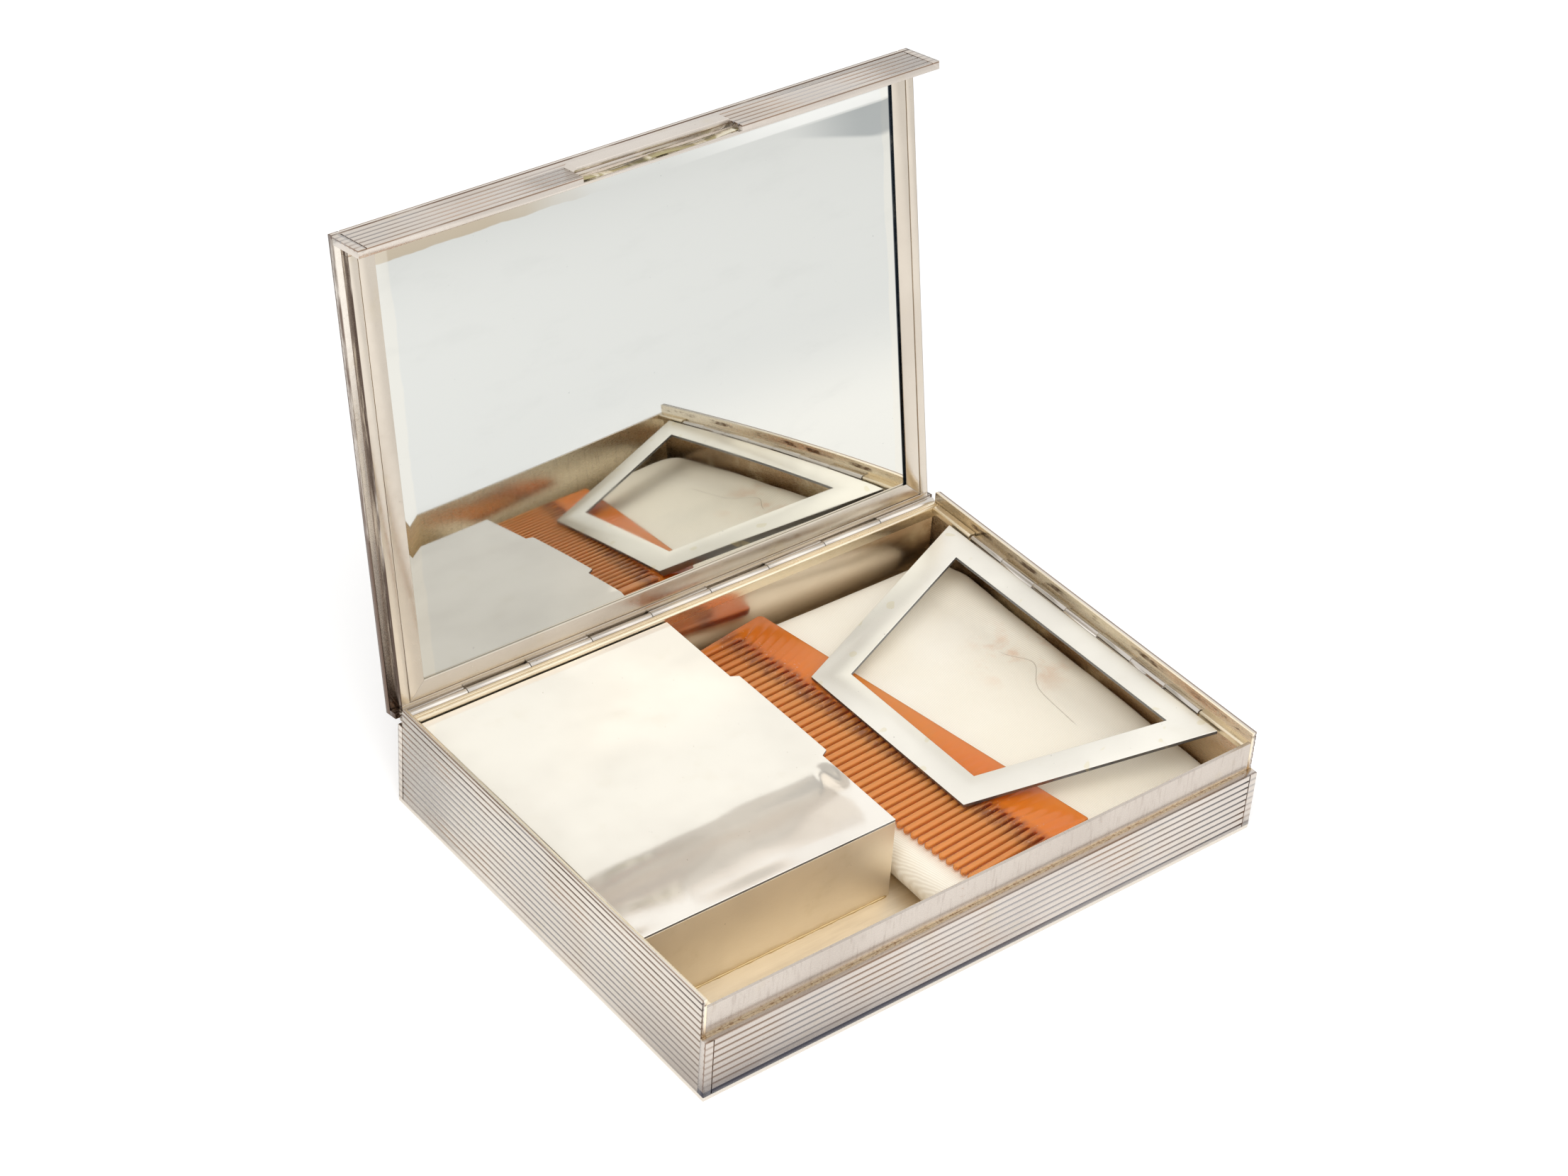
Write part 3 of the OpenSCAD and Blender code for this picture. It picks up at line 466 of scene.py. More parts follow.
def soft_edged(node, material, width=0.1, segments=2):
    """A merged copy of a CAD node with its edges rounded, which stands for the node."""
    mesh = frame["nodes"][node].data.copy()
    work = bmesh.new()
    work.from_mesh(mesh)
    bmesh.ops.remove_doubles(work, verts=work.verts, dist=0.001 * MM)
    bmesh.ops.dissolve_limit(
        work, angle_limit=math.radians(0.5), verts=work.verts, edges=work.edges
    )
    for face in work.faces:
        face.smooth = True
    work.to_mesh(mesh)
    work.free()
    piece = piece_from(node + "_worn", mesh, material, body_of(node), (node,))
    worn_edges(piece, width, segments)


def mesh_from(name, points, faces, outward=True):
    """A smooth mesh from points in millimetres and arrays of faces.

    outward turns the faces of a closed skin outwards. An open sheet's faces stay as they are.
    """
    mesh = bpy.data.meshes.new(name)
    lists = [face for group in faces for face in np.asarray(group).tolist()]
    mesh.from_pydata((points * MM).tolist(), [], lists)
    if outward:
        work = bmesh.new()
        work.from_mesh(mesh)
        bmesh.ops.recalc_face_normals(work, faces=work.faces)
        work.to_mesh(mesh)
        work.free()
    mesh.shade_smooth()
    return mesh


def cells(rows, columns, close_rows=False, close_columns=False):
    """Faces of a grid of rows by columns, numbered along the columns first."""
    down = np.arange(rows if close_rows else rows - 1)[:, None]
    along = np.arange(columns if close_columns else columns - 1)[None, :]
    below, beside = (down + 1) % rows, (along + 1) % columns
    corners = (
        down * columns + along, below * columns + along,
        below * columns + beside, down * columns + beside,
    )
    return np.stack([np.broadcast_to(c, (down.size, along.size)).ravel() for c in corners], -1)


def end_caps(rings, count):
    """The two faces that close a tube of rings with so many points each."""
    return np.stack((np.arange(count)[::-1], (rings - 1) * count + np.arange(count)))


def step(value, start, end):
    """The smooth step of an array: 0 up to start, 1 from end on."""
    t = np.clip((value - start) / (end - start), 0, 1)
    return t * t * (3 - 2 * t)


# Comb

# In millimetres and radians. Where a value has two parts, they belong to the comb's near end and
# its far end, apart from COMB_PLACE, which is where its near back corner lies in the case.
COMB_LENGTH = 98.25
COMB_TURN = math.radians(9.0)
COMB_PLACE = np.array((36.75, -44.22))
COMB_BACKS = (12.1, 10.0)
COMB_WIDTHS = (33.6, 26.4)
COMB_GUARDS = (1.9, 3.8)
COMB_SLANTS = tuple(math.radians(a) for a in (4.4, 6.3))
COMB_CORNERS = (0.6, 1.5)
COMB_NEAR = np.array((-COMB_BACKS[0], COMB_BACKS[0] * math.tan(COMB_SLANTS[0])))
COMB_FAR = np.array((-COMB_BACKS[1], COMB_LENGTH))
COMB_GAPS = 44
COMB_GAP = 0.65
COMB_FAN = 40.0
COMB_TIP_ROUND = 1.1
COMB_EDGE_INSET = 0.42
COMB_EDGE_ROUND = 0.7
COMB_SLIDE = JOINTS["comb_slide"]["range_m"][1] / MM


def along_comb(ends, y):
    """A value at y, on a straight line from that of the near end to that of the far end."""
    return ends[0] + (ends[1] - ends[0]) * y / COMB_LENGTH


def comb_gaps_and_teeth():
    """Round roots of the comb's gaps, and its teeth, each as points and outward normals.

    The back lies on x = 0 and the teeth point to -x. A gap is a straight slot, which slants more
    over the first teeth, and ends in a half circle. A tooth goes out along its near side, round
    its tip and back along its far side. Its tip's corners are quarter circles.
    """
    roots = np.linspace(
        COMB_NEAR[1] + COMB_GUARDS[0], COMB_LENGTH - COMB_GUARDS[1], COMB_GAPS
    )
    slant = COMB_SLANTS[0] + (COMB_SLANTS[1] - COMB_SLANTS[0]) * np.clip(roots / COMB_FAN, 0, 1)
    along = np.stack((-np.cos(slant), np.sin(slant)), -1)
    across = np.stack((np.sin(slant), np.cos(slant)), -1)
    half = COMB_GAP / 2
    centres = np.stack((-along_comb(COMB_BACKS, roots), roots), -1) + along * half
    turn = np.linspace(0, math.pi, 7)[None, :, None]
    root_normals = across[:, None] * np.cos(turn) + along[:, None] * np.sin(turn)
    root_points = centres[:, None] - root_normals * half

    starts = np.vstack((COMB_NEAR, centres + across * half))
    ends = np.vstack((centres - across * half, COMB_FAR))
    start_along = np.vstack((along[0], along))
    end_along = np.vstack((along, (-1.0, 0.0)))
    width = along_comb(COMB_WIDTHS, (starts[:, 1] + ends[:, 1]) / 2)
    start_tip = starts + start_along * ((width + starts[:, 0]) / -start_along[:, 0])[:, None]
    end_tip = ends + end_along * ((width + ends[:, 0]) / -end_along[:, 0])[:, None]
    tip_across = end_tip - start_tip
    tip_half = np.linalg.norm(tip_across, axis=1)[:, None] / 2
    tip_across = tip_across / (2 * tip_half)
    tip_along = np.stack((-tip_across[:, 1], tip_across[:, 0]), -1)
    round_by = np.minimum(tip_half, COMB_TIP_ROUND)
    start_tip = start_tip - tip_along * round_by
    end_tip = end_tip - tip_along * round_by

    shares = np.array((0.04, 0.1, 0.25, 0.5, 0.75, 1.0))[None, :, None]
    out_points = starts[:, None] + (start_tip - starts)[:, None] * shares
    back_points = (ends[:, None] + (end_tip - ends)[:, None] * shares)[:, ::-1]
    out_normals = np.broadcast_to(-tip_across[:, None], out_points.shape)
    back_normals = np.broadcast_to(tip_across[:, None], back_points.shape)
    sweep = np.linspace(0, math.pi / 2, 5)[None, 1:, None]
    back_sweep = sweep[:, ::-1]
    first = -tip_across[:, None] * np.cos(sweep) + tip_along[:, None] * np.sin(sweep)
    second = tip_across[:, None] * np.cos(back_sweep) + tip_along[:, None] * np.sin(back_sweep)
    first_points = (start_tip + tip_across * round_by)[:, None] + first * round_by[:, None]
    second_points = (end_tip - tip_across * round_by)[:, None] + second * round_by[:, None]
    tooth_points = np.concatenate((out_points, first_points, second_points, back_points), 1)
    tooth_normals = np.concatenate((out_normals, first, second, back_normals), 1)
    return root_points, root_normals, tooth_points, tooth_normals


def comb_back(count):
    """The comb's back edge with so many points, and its normals, from the far end to the near one.

    Two points lie on the far end, then come a quarter circle, a straight line, a smaller quarter
    circle and two points on the near end, which leans with the first tooth.
    """
    small, large = COMB_CORNERS
    arc = np.linspace(0, math.pi / 2, 6)
    spread = count - 2 * (arc.size + 2)
    straight = np.linspace(COMB_LENGTH - large - 1, small + 1, spread)
    edge = np.concatenate((
        [(-0.55 * COMB_BACKS[1], COMB_LENGTH), (-0.3 * COMB_BACKS[1], COMB_LENGTH)],
        np.stack((large * np.sin(arc) - large, COMB_LENGTH - large + large * np.cos(arc)), -1),
        np.stack((np.zeros(spread), straight), -1),
        np.stack((small * np.cos(arc) - small, small - small * np.sin(arc)), -1),
        [(-0.3 * COMB_BACKS[0], 0.0), (-0.55 * COMB_BACKS[0], 0.0)],
    ))
    normals = np.concatenate((
        [(0, 1), (0, 1)],
        np.stack((np.sin(arc), np.cos(arc)), -1),
        np.tile((1.0, 0.0), (spread, 1)),
        np.stack((np.cos(arc), -np.sin(arc)), -1),
        [(0, -1), (0, -1)],
    ))
    near = edge[:, 1] < small
    edge[:, 1] += np.clip(-edge[:, 0], 0, None) * math.tan(COMB_SLANTS[0]) * near
    return edge, normals


def comb_outline():
    """Outline of the comb in its own plane: near corner, teeth and gaps, far corner, back edge.

    Returns its points and normals, the indices of the root chain, those of the near and the far
    side of each tooth, and those of the back edge.
    """
    root_points, root_normals, tooth_points, tooth_normals = comb_gaps_and_teeth()
    per_root, per_tooth = root_points.shape[1], tooth_points.shape[1]
    block = np.arange(COMB_GAPS + 1) * (per_root + per_tooth)
    root_at = 1 + per_tooth + block[:-1, None] + np.arange(per_root)[None, :]
    last = 1 + per_tooth + block[-1]
    chain = np.concatenate(([0], root_at.ravel(), [last]))
    sides = 1 + block[:, None] + np.arange(per_tooth)[None, :]
    before = np.concatenate(([0], root_at[:, -1]))[:, None]
    after = np.concatenate((root_at[:, 0], [last]))[:, None]
    half_way = per_tooth // 2
    near = np.concatenate((before, sides[:, :half_way]), 1)
    far = np.concatenate((after, sides[:, half_way:][:, ::-1]), 1)

    edge, edge_normals = comb_back(chain.size - 2)
    edge_at = last + 1 + np.arange(edge.shape[0])
    joined = np.concatenate((root_points, tooth_points[1:]), 1).reshape(-1, 2)
    joined_normals = np.concatenate((root_normals, tooth_normals[1:]), 1).reshape(-1, 2)
    points = np.concatenate((COMB_NEAR[None], tooth_points[0], joined, COMB_FAR[None], edge))
    normals = np.concatenate((
        [(-math.sin(COMB_SLANTS[0]), -1.0)], tooth_normals[0], joined_normals, [(0.0, 1.0)],
        edge_normals,
    ))
    return points, normals / np.linalg.norm(normals, axis=1)[:, None], chain, near, far, edge_at


def comb_mesh(low, high):
    """The comb as one closed skin.

    Rings of its outline are set in by an ellipse: the inset times (1 - cos a), at a height of the
    edge's rounding times sin a over or under the straight part of the edge. The teeth thin to 0.62
    of the back's height at their tips. Flat faces close the rings: a ladder in each tooth, and a
    strip from the roots to the back edge.
    """
    outline, normals, chain, near, far, edge = comb_outline()
    count = outline.shape[0]
    half = (high - low) / 2
    reach = np.clip((-outline[:, 0] - 13.0) / 20.0, 0, 1)
    thick = half * (1 - 0.38 * reach)
    angles = np.radians(np.array((-90, -65, -40, -20, 0, 0, 20, 40, 65, 90.0)))
    sign = np.repeat((-1.0, 1.0), angles.size // 2)
    inset = COMB_EDGE_INSET * (1 - np.cos(angles))
    round_by = np.minimum(COMB_EDGE_ROUND, thick * 0.9)[None, :]
    height = sign[:, None] * (thick[None, :] - round_by) + round_by * np.sin(angles)[:, None]
    flat = outline[None] - normals[None] * inset[:, None, None]
    cos, sin = math.cos(COMB_TURN), math.sin(COMB_TURN)
    x = flat[..., 0] * cos - flat[..., 1] * sin + COMB_PLACE[0]
    y = flat[..., 0] * sin + flat[..., 1] * cos + COMB_PLACE[1]
    points = np.stack((x, y, height + (low + high) / 2), -1).reshape(-1, 3)
    rings = cells(angles.size, count, close_columns=True)
    ladders = np.stack((near[:, :-1], near[:, 1:], far[:, 1:], far[:, :-1]), -1).reshape(-1, 4)
    other = np.concatenate(([chain[0]], edge[::-1], [chain[-1]]))
    strip = np.stack((chain[:-1], chain[1:], other[1:], other[:-1]), -1)[1:-1]
    ends = np.array([(chain[0], chain[1], other[1]), (chain[-2], chain[-1], other[-2])])
    top = (angles.size - 1) * count
    faces = [rings, ladders, strip, ends, ladders + top, strip + top, ends + top]
    return mesh_from("comb", points, faces)


def amber():
    """Clear amber plastic: orange, redder at the far end, with dirt and flecks at the roots and
    painted shade on its upright faces.

    Patterns lie in the comb's own plane. root is how far a place lies from the line of the roots,
    towards the back.
    """
    t = Tree("amber plastic")
    place = t.case_mm()
    cos, sin = math.cos(COMB_TURN), math.sin(COMB_TURN)
    turned = t.add("Mapping", place)
    turned.inputs["Rotation"].default_value = (0, 0, -COMB_TURN)
    turned.inputs["Location"].default_value = (
        -(COMB_PLACE[0] * cos + COMB_PLACE[1] * sin),
        COMB_PLACE[0] * sin - COMB_PLACE[1] * cos, 0,
    )
    comb_place = turned.outputs[0]
    x, y, _ = t.axes(comb_place)
    narrowing = (COMB_BACKS[0] - COMB_BACKS[1]) / COMB_LENGTH
    root = t.plus(x, t.minus(COMB_BACKS[0], t.times(y, narrowing)))
    teeth = t.ramp(root, -4.0, -1.0, 1.0, 0.0)

    clouds = t.ramp(t.noise(place, 0.05, 2.0), 0.35, 0.65)
    colour = t.mix(clouds, (1.0, 0.37, 0.045), (1.0, 0.31, 0.035))
    colour = t.mix(t.times(teeth, 0.75), colour, (0.95, 0.45, 0.13))
    colour = t.mix(t.ramp(y, 76, 97, 0.0, 0.6), colour, (0.72, 0.17, 0.01))
    grain = t.noise(t.stretch(comb_place, (0.25, 1.0, 1.0)), 1.0, 4.0, 0.65)
    dirt = t.times(t.pulse(root, -2.2, 1.6, 2.6), t.ramp(grain, 0.35, 0.65, 0.15, 0.8))
    colour = t.mix(dirt, colour, (0.3, 0.1, 0.05))
    # Painted shade on the upright faces, weaker on the teeth.
    rim = t.times(t.ramp(t.facing_up(), 0.15, 0.5, 0.7, 0.0), t.ramp(teeth, 0.0, 1.0, 1.0, 0.35))
    colour = t.mix(rim, colour, (0.3, 0.07, 0.04))
    flecks = t.times(
        t.ramp(t.noise(place, 1.6, 2.0), 0.66, 0.7), t.pulse(root, -2.0, 3.0, 4.0), 0.5
    )
    colour = t.mix(flecks, colour, (0.85, 0.6, 0.42))

    absorb = t.tree.nodes.new("ShaderNodeVolumeAbsorption")
    absorb.inputs["Color"].default_value = (0.97, 0.6, 0.3, 1)
    absorb.inputs["Density"].default_value = 160.0
    t.tree.links.new(absorb.outputs[0], t.tree.nodes["Material Output"].inputs["Volume"])
    return t.finish(
        Base_Color=colour, Roughness=t.ramp(t.noise(place, 1.1, 2.0, 0.5), 0.3, 0.75, 0.1, 0.22),
        Normal=t.bump(t.noise(place, 0.12, 2.0, 0.5), 0.03 * MM, 0.4),
        Transmission_Weight=0.5, IOR=1.42,
    )


def make_comb():
    """The comb, which lies on the pouch under the retaining frame."""
    low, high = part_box("comb")
    mesh = comb_mesh(low.z / MM, high.z / MM)
    piece_from("amber_comb", mesh, amber(), "comb", ("comb",))


make_comb()


# Pouch

POUCH_RINGS = 24
POUCH_CORNER = 9.5
POUCH_DRAW = 2.8
POUCH_VOXEL = 2.6
POUCH_FRAMES = 20
# How far the cloth may swell, and how far the filled-out side stays from the slid comb
POUCH_SWELL = 1.4
POUCH_CLEAR = 1.2


def pouch_skin(low, high):
    """The slack pouch: rings round a rectangle with round corners.

    At an angle a from -86 to 86 degrees, a ring is set in by the draw times (1 - cos a) to the
    power 1.5, and lies at mid height plus half the height times sin a to the power 0.55.
    """
    turn = np.radians(np.arange(0, 360, 7.5))[None, :]
    angle = np.radians(np.linspace(-86, 86, POUCH_RINGS))[:, None]
    centre, half = (low + high) / 2, (high - low) / 2
    radius = POUCH_CORNER - POUCH_DRAW * (1 - np.cos(angle)) ** 1.5
    sign_x, sign_y = np.sign(np.cos(turn + 0.01)), np.sign(np.sin(turn + 0.01))
    x = centre[0] + sign_x * (half[0] - POUCH_CORNER) + radius * np.cos(turn)
    y = centre[1] + sign_y * (half[1] - POUCH_CORNER) + radius * np.sin(turn)
    z = centre[2] + half[2] * np.sign(angle) * np.abs(np.sin(angle)) ** 0.55 + 0 * turn
    points = np.stack((x, y, z), -1).reshape(-1, 3)
    sides = cells(POUCH_RINGS, turn.size, close_columns=True)
    return points, [sides, end_caps(POUCH_RINGS, turn.size)]


def apply_modifiers(piece):
    """Puts the result of a piece's modifiers into its mesh."""
    graph = bpy.context.evaluated_depsgraph_get()
    mesh = bpy.data.meshes.new_from_object(piece.evaluated_get(graph))
    piece.modifiers.clear()
    piece.data = mesh


def points_of(piece):
    """The points of a piece's mesh, in metres."""
    points = np.empty(len(piece.data.vertices) * 3)
    piece.data.vertices.foreach_get("co", points)
    return points.reshape(-1, 3)


def put_points(piece, points):
    """Gives a piece's mesh new points, in metres."""
    piece.data.vertices.foreach_set("co", points.ravel())
    piece.data.update()


def swollen(piece, low, high):
    """Lets the cloth swell with a light pressure, then holds it near its start and in its bay."""
    remesh = piece.modifiers.new("even", "REMESH")
    remesh.mode = "VOXEL"
    remesh.voxel_size = POUCH_VOXEL * MM
    apply_modifiers(piece)
    before = points_of(piece)
    cloth = piece.modifiers.new("swell", "CLOTH")
    cloth.settings.quality = 6
    cloth.settings.mass = 0.2
    cloth.settings.tension_stiffness = 12
    cloth.settings.compression_stiffness = 12
    cloth.settings.bending_stiffness = 0.4
    cloth.settings.use_pressure = True
    cloth.settings.uniform_pressure_force = 4
    cloth.settings.effector_weights.gravity = 0
    cloth.collision_settings.use_collision = False
    cloth.point_cache.frame_start = 1
    cloth.point_cache.frame_end = POUCH_FRAMES
    for number in range(1, POUCH_FRAMES + 1):
        bpy.context.scene.frame_set(number)
    apply_modifiers(piece)
    bpy.context.scene.frame_set(1)
    move = points_of(piece) - before
    length = np.linalg.norm(move, axis=1)[:, None]
    held = before + move * np.minimum(1, POUCH_SWELL * MM / np.maximum(length, 1e-9))
    put_points(piece, np.clip(held, low * MM, high * MM))


def fill_out(piece, right):
    """Fills the pouch out at the right wall, where the comb never slides.

    The cloth moves right by a smooth step of 2 between 13 and 3 from the wall side. Its upper
    side rises by a smooth step of 1.7 over the 4 right of a line a little off the slid comb's
    back, and the rise fades out towards the back wall.
    """
    x, y, z = points_of(piece).T / MM
    x = np.minimum(x + 2.0 * step(x, right - 13, right - 3), right)
    line = COMB_PLACE[0] + COMB_SLIDE - (y - COMB_PLACE[1]) * math.tan(COMB_TURN) + POUCH_CLEAR
    z = z + 1.7 * step(x - line, 0, 4) * step(z, 5, 9) * (1 - step(y, 38, 52))
    put_points(piece, np.stack((x, y, z), -1) * MM)


def satin():
    """Cream satin with fine ribs, a faint stain or two and one thin curved crease, with painted
    shade in the troughs of the ribs and along the crease, and darker patches low down.

    The ribs and threads are sines across and along the cloth, a little wobbled. The crease lies
    where x is 59 plus 0.08 y plus a bell of height 5 at y = 6.
    """
    t = Tree("cream satin")
    place = t.case_mm()
    turned = t.add("Mapping", place)
    turned.inputs["Rotation"].default_value = (0, 0, math.radians(-10))
    x, y, z = t.axes(place)
    rib, thread, _ = t.axes(turned.outputs[0])
    wobble = t.times(t.noise(place, 0.3, 3.0), 0.35)
    ribs = t.math("SINE", t.times(t.plus(rib, wobble), 2 * math.pi / 0.45))
    threads = t.math("SINE", t.times(t.plus(thread, wobble), 2 * math.pi / 0.3))
    weave = t.plus(t.times(ribs, 0.5), t.times(threads, 0.2))
    height = t.plus(t.times(weave, 0.5), 0.5)
    clouds = t.ramp(t.noise(place, 0.03, 3.0), 0.3, 0.7)
    colour = t.mix(clouds, tone(252, 247, 235), tone(247, 240, 224))
    # Painted shade in the troughs of the ribs.
    colour = t.mix(t.ramp(height, 0.2, 0.8, 0.3, 0.0), colour, tone(196, 180, 150))

    stain = t.noise(place, 0.1, 5.0, 0.6)
    far = t.math("SQRT", t.plus(
        t.math("POWER", t.minus(x, 64), 2), t.math("POWER", t.minus(y, 9), 2)
    ))
    pink = t.times(t.ramp(stain, 0.48, 0.66, 0.0, 0.5), t.ramp(far, 4.0, 17.0, 1.0, 0.0))
    colour = t.mix(pink, colour, tone(224, 176, 140))
    # Darker in patches low down on the pouch.
    low_darkening = t.times(t.ramp(z, 3.0, 8.0, 0.5, 0.0), t.ramp(stain, 0.35, 0.6))
    colour = t.mix(low_darkening, colour, tone(200, 182, 148))

    off = t.math("POWER", t.times(t.minus(y, 6.0), 0.2), 2)
    bell = t.math("POWER", math.e, t.times(off, -1.0))
    line = t.plus(t.plus(59.0, t.times(y, 0.08)), t.times(bell, 5.0))
    crease = t.times(t.pulse(t.minus(x, line), 0.0, 0.06, 0.12), t.pulse(y, -1.5, 13.0, 3.0))
    # Painted shade along the crease.
    colour = t.mix(t.times(crease, 0.45), colour, tone(150, 132, 110))
    soft = t.bump(t.noise(t.stretch(place, (1.0, 0.5, 1.0)), 0.07, 3.0, 0.55), 1.2 * MM, 0.35)
    woven = t.bump(height, 0.08 * MM, 0.7, soft)
    return t.finish(
        Base_Color=colour, Roughness=0.62, Normal=t.bump(crease, 0.1 * MM, 0.6, woven),
        Sheen_Weight=0.25, Sheen_Roughness=0.4,
    )


def make_pouch():
    """The satin pouch, which fills the bay under the comb and the retaining frame."""
    low, high = (np.array(corner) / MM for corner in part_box("pouch"))
    # The skin starts near the solid's box, and the room round that box holds what swells.
    points, faces = pouch_skin(low + (0.3, 0.2, 0), high + (0.3, 0.6, -0.4))
    fabric = satin()
    mesh = mesh_from("pouch", points, faces)
    piece = piece_from("satin_pouch", mesh, fabric, "base", ("pouch",))
    swollen(piece, low - (0.2, 0.3, 0), high + (0.7, 1.0, 0.1))
    fill_out(piece, high[0] + 0.55)
    if not piece.data.materials:
        piece.data.materials.append(fabric)
    piece.data.shade_smooth()
    smooth = piece.modifiers.new("round", "SUBSURF")
    smooth.levels = 1
    smooth.render_levels = 1


make_pouch()


# Powder lid

# In millimetres: the solid's sheet and the thinner one here, the tab, and the turned-down rim with
# its insets from the sheet's plain edges. RIM_UNDER is from the lid's top to the rim's.
COVER_SHEET, COVER_THICK = 0.8, 0.68
TAB_OUT, TAB_WIDE, TAB_MIDDLE, TAB_SLANT = 1.8, 33.0, 12.1, 1.0
RIM_THICK, RIM_CORNER, RIM_UNDER = 0.5, 1.2, 0.7
RIM_LEFT, RIM_RIGHT, RIM_FRONT, RIM_BACK = 1.5, 1.2, 1.2, 0.6


def cover_heights(x, y, low, high):
    """Height of the powder lid over its flat level.

    A smooth step of 0.26 rises over the 24 behind the front edge, and sinks back to 0 towards
    the back edge. Two dents and some long shallow waves are added, which fade out at the front
    edge.
    """
    back = y - low[1]
    rise = 0.26 * step(back, 0, 24) * (1 - step(back, 28, high[1] - low[1] - 2))
    dent = 0.06 * np.exp(-(((x + 9.0) / 2.2) ** 2 + ((y + 11.0) / 4.5) ** 2))
    knock = 0.03 * np.exp(-(((x + 40) / 5.0) ** 2 + ((y - 18) / 4.0) ** 2))
    across = np.sin(x / 5.3 + 0.4) + 0.35 * np.sin(x / 2.9 + y / 9 + 1)
    waves = 0.012 * np.sin(y / 5.0 + 0.8) * across
    long = 0.01 * (np.sin(x / 6.1 + y / 13) + np.sin(y / 7.3 - x / 19) + np.sin((x + y) / 10.5))
    return rise - dent - knock + (waves + long) * step(back, 0, 4)


def cover_mesh(low, high, flat_z):
    """The powder lid's upper skin: lines from the left edge to the right, which has the tab."""
    front, back = TAB_MIDDLE - TAB_WIDE / 2, TAB_MIDDLE + TAB_WIDE / 2
    breaks = (low[1], front, front + TAB_SLANT, back - TAB_SLANT, back, high[1])
    counts = (90, 3, 60, 3, 42)
    ys = np.concatenate([
        np.linspace(a, b, n, endpoint=False) for a, b, n in zip(breaks, breaks[1:], counts)
    ] + [[high[1]]])
    plain = high[0] - TAB_OUT
    edge = plain + np.interp(ys, breaks, (0, 0, TAB_OUT, TAB_OUT, 0, 0))
    shares = np.linspace(0, 1, 180)[None, :]
    x = low[0] + (edge[:, None] - low[0]) * shares
    y = np.broadcast_to(ys[:, None], x.shape)
    z = flat_z + cover_heights(x, y, low, high)
    points = np.stack((x, y, z), -1).reshape(-1, 3)
    return mesh_from("powder lid", points, [cells(*x.shape)[:, ::-1]], outward=False)


def cover_rim_mesh(low, high, z1, z2):
    """The turned-down rim: a flat strip section carried round a rectangle with round corners."""
    turn = np.radians(np.arange(0, 360, 9.0))
    signs = np.stack((np.sign(np.cos(turn + 0.01)), np.sign(np.sin(turn + 0.01))), -1)
    ray = np.stack((np.cos(turn), np.sin(turn)), -1)
    corners = (low + high) / 2 + signs * ((high - low) / 2 - RIM_CORNER)
    rings = [
        np.column_stack((corners + (RIM_CORNER - inset) * ray, np.full(turn.size, z)))
        for inset, z in ((0, z1), (0, z2), (RIM_THICK, z2), (RIM_THICK, z1))
    ]
    return mesh_from("rim", np.concatenate(rings), [cells(4, turn.size, True, True)])


def make_cover(material):
    """The powder lid with its thumb tab and its turned-down rim."""
    low, high = (np.array(corner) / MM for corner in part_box("powder_lid"))
    mesh = cover_mesh(low, high, high[2] - COVER_SHEET + COVER_THICK)
    body, slot = "powder_cover", "fitting_silver"
    plate = piece_from("powder_cover", mesh, material, body, ("powder_lid",))
    wall = plate.modifiers.new("thickness", "SOLIDIFY")
    wall.thickness = COVER_THICK * MM
    wall.offset = -1
    worn_edges(plate, 0.14, 2)
    rim_low = low[:2] + (RIM_LEFT, RIM_FRONT)
    rim_high = high[:2] - (TAB_OUT + RIM_RIGHT, RIM_BACK)
    rim = cover_rim_mesh(rim_low, rim_high, low[2], high[2] - RIM_UNDER)
    worn_edges(piece_from("powder_cover_rim", rim, material, body), 0.05, 1)


# Solder


def bead(name, start, end, radius, material):
    """A run of solder: a ring of 10 points whose radius waves by sines along a straight path."""
    start, end = np.array(start), np.array(end)
    length = np.linalg.norm(end - start)
    s = np.linspace(0, length, max(24, int(length * 2.5)))[:, None]
    ends = np.sqrt(np.clip(np.minimum(s, length - s) / (2 * radius), 0.02, 1))
    waves = 0.18 * np.sin(s * 0.9) + 0.12 * np.sin(s * 2.3 + 1) + 0.08 * np.sin(s * 5.1 + 2)
    size = radius * ends * (1 + waves)
    turn = np.linspace(0, 2 * math.pi, 10, endpoint=False)[None, :]
    along = (end - start) / length
    side = np.array((-along[1], along[0], 0.0))
    up = np.array((0, 0, 1.0))
    rings = (
        start + along * s[..., None] + side * (size * np.cos(turn))[..., None]
        + up * (size * np.sin(turn))[..., None]
    )
    faces = [cells(s.size, turn.size, close_columns=True), end_caps(s.size, turn.size)]
    mesh = mesh_from(name, rings.reshape(-1, 3), faces)
    piece_from(name, mesh, material, "base")


# Finishes of the case

# Plain borders under and over the case's reeds, and how many reeds lie between them
WALL_BORDERS, WALL_REEDS, BACK_REEDS = (0.45, 0.8), 14, 11
PANEL_BORDERS, PANEL_REEDS = (1.1, 1.5), 7
# The shut lid's first grooves, the flange's pitch and the plate's number of reeds
FLANGE_FIRST, FLANGE_PITCH = 17.25, 1.775
PLATE_FIRST, PLATE_REEDS = -53.5, 63
REED_EDGE = 0.05


def standing_reeds(top, borders, count):
    """Reeds that lie over each other from the floor to a top: axis, first groove and pitch."""
    return "Z", FLOOR_TOP + borders[0], (top - FLOOR_TOP - sum(borders)) / count


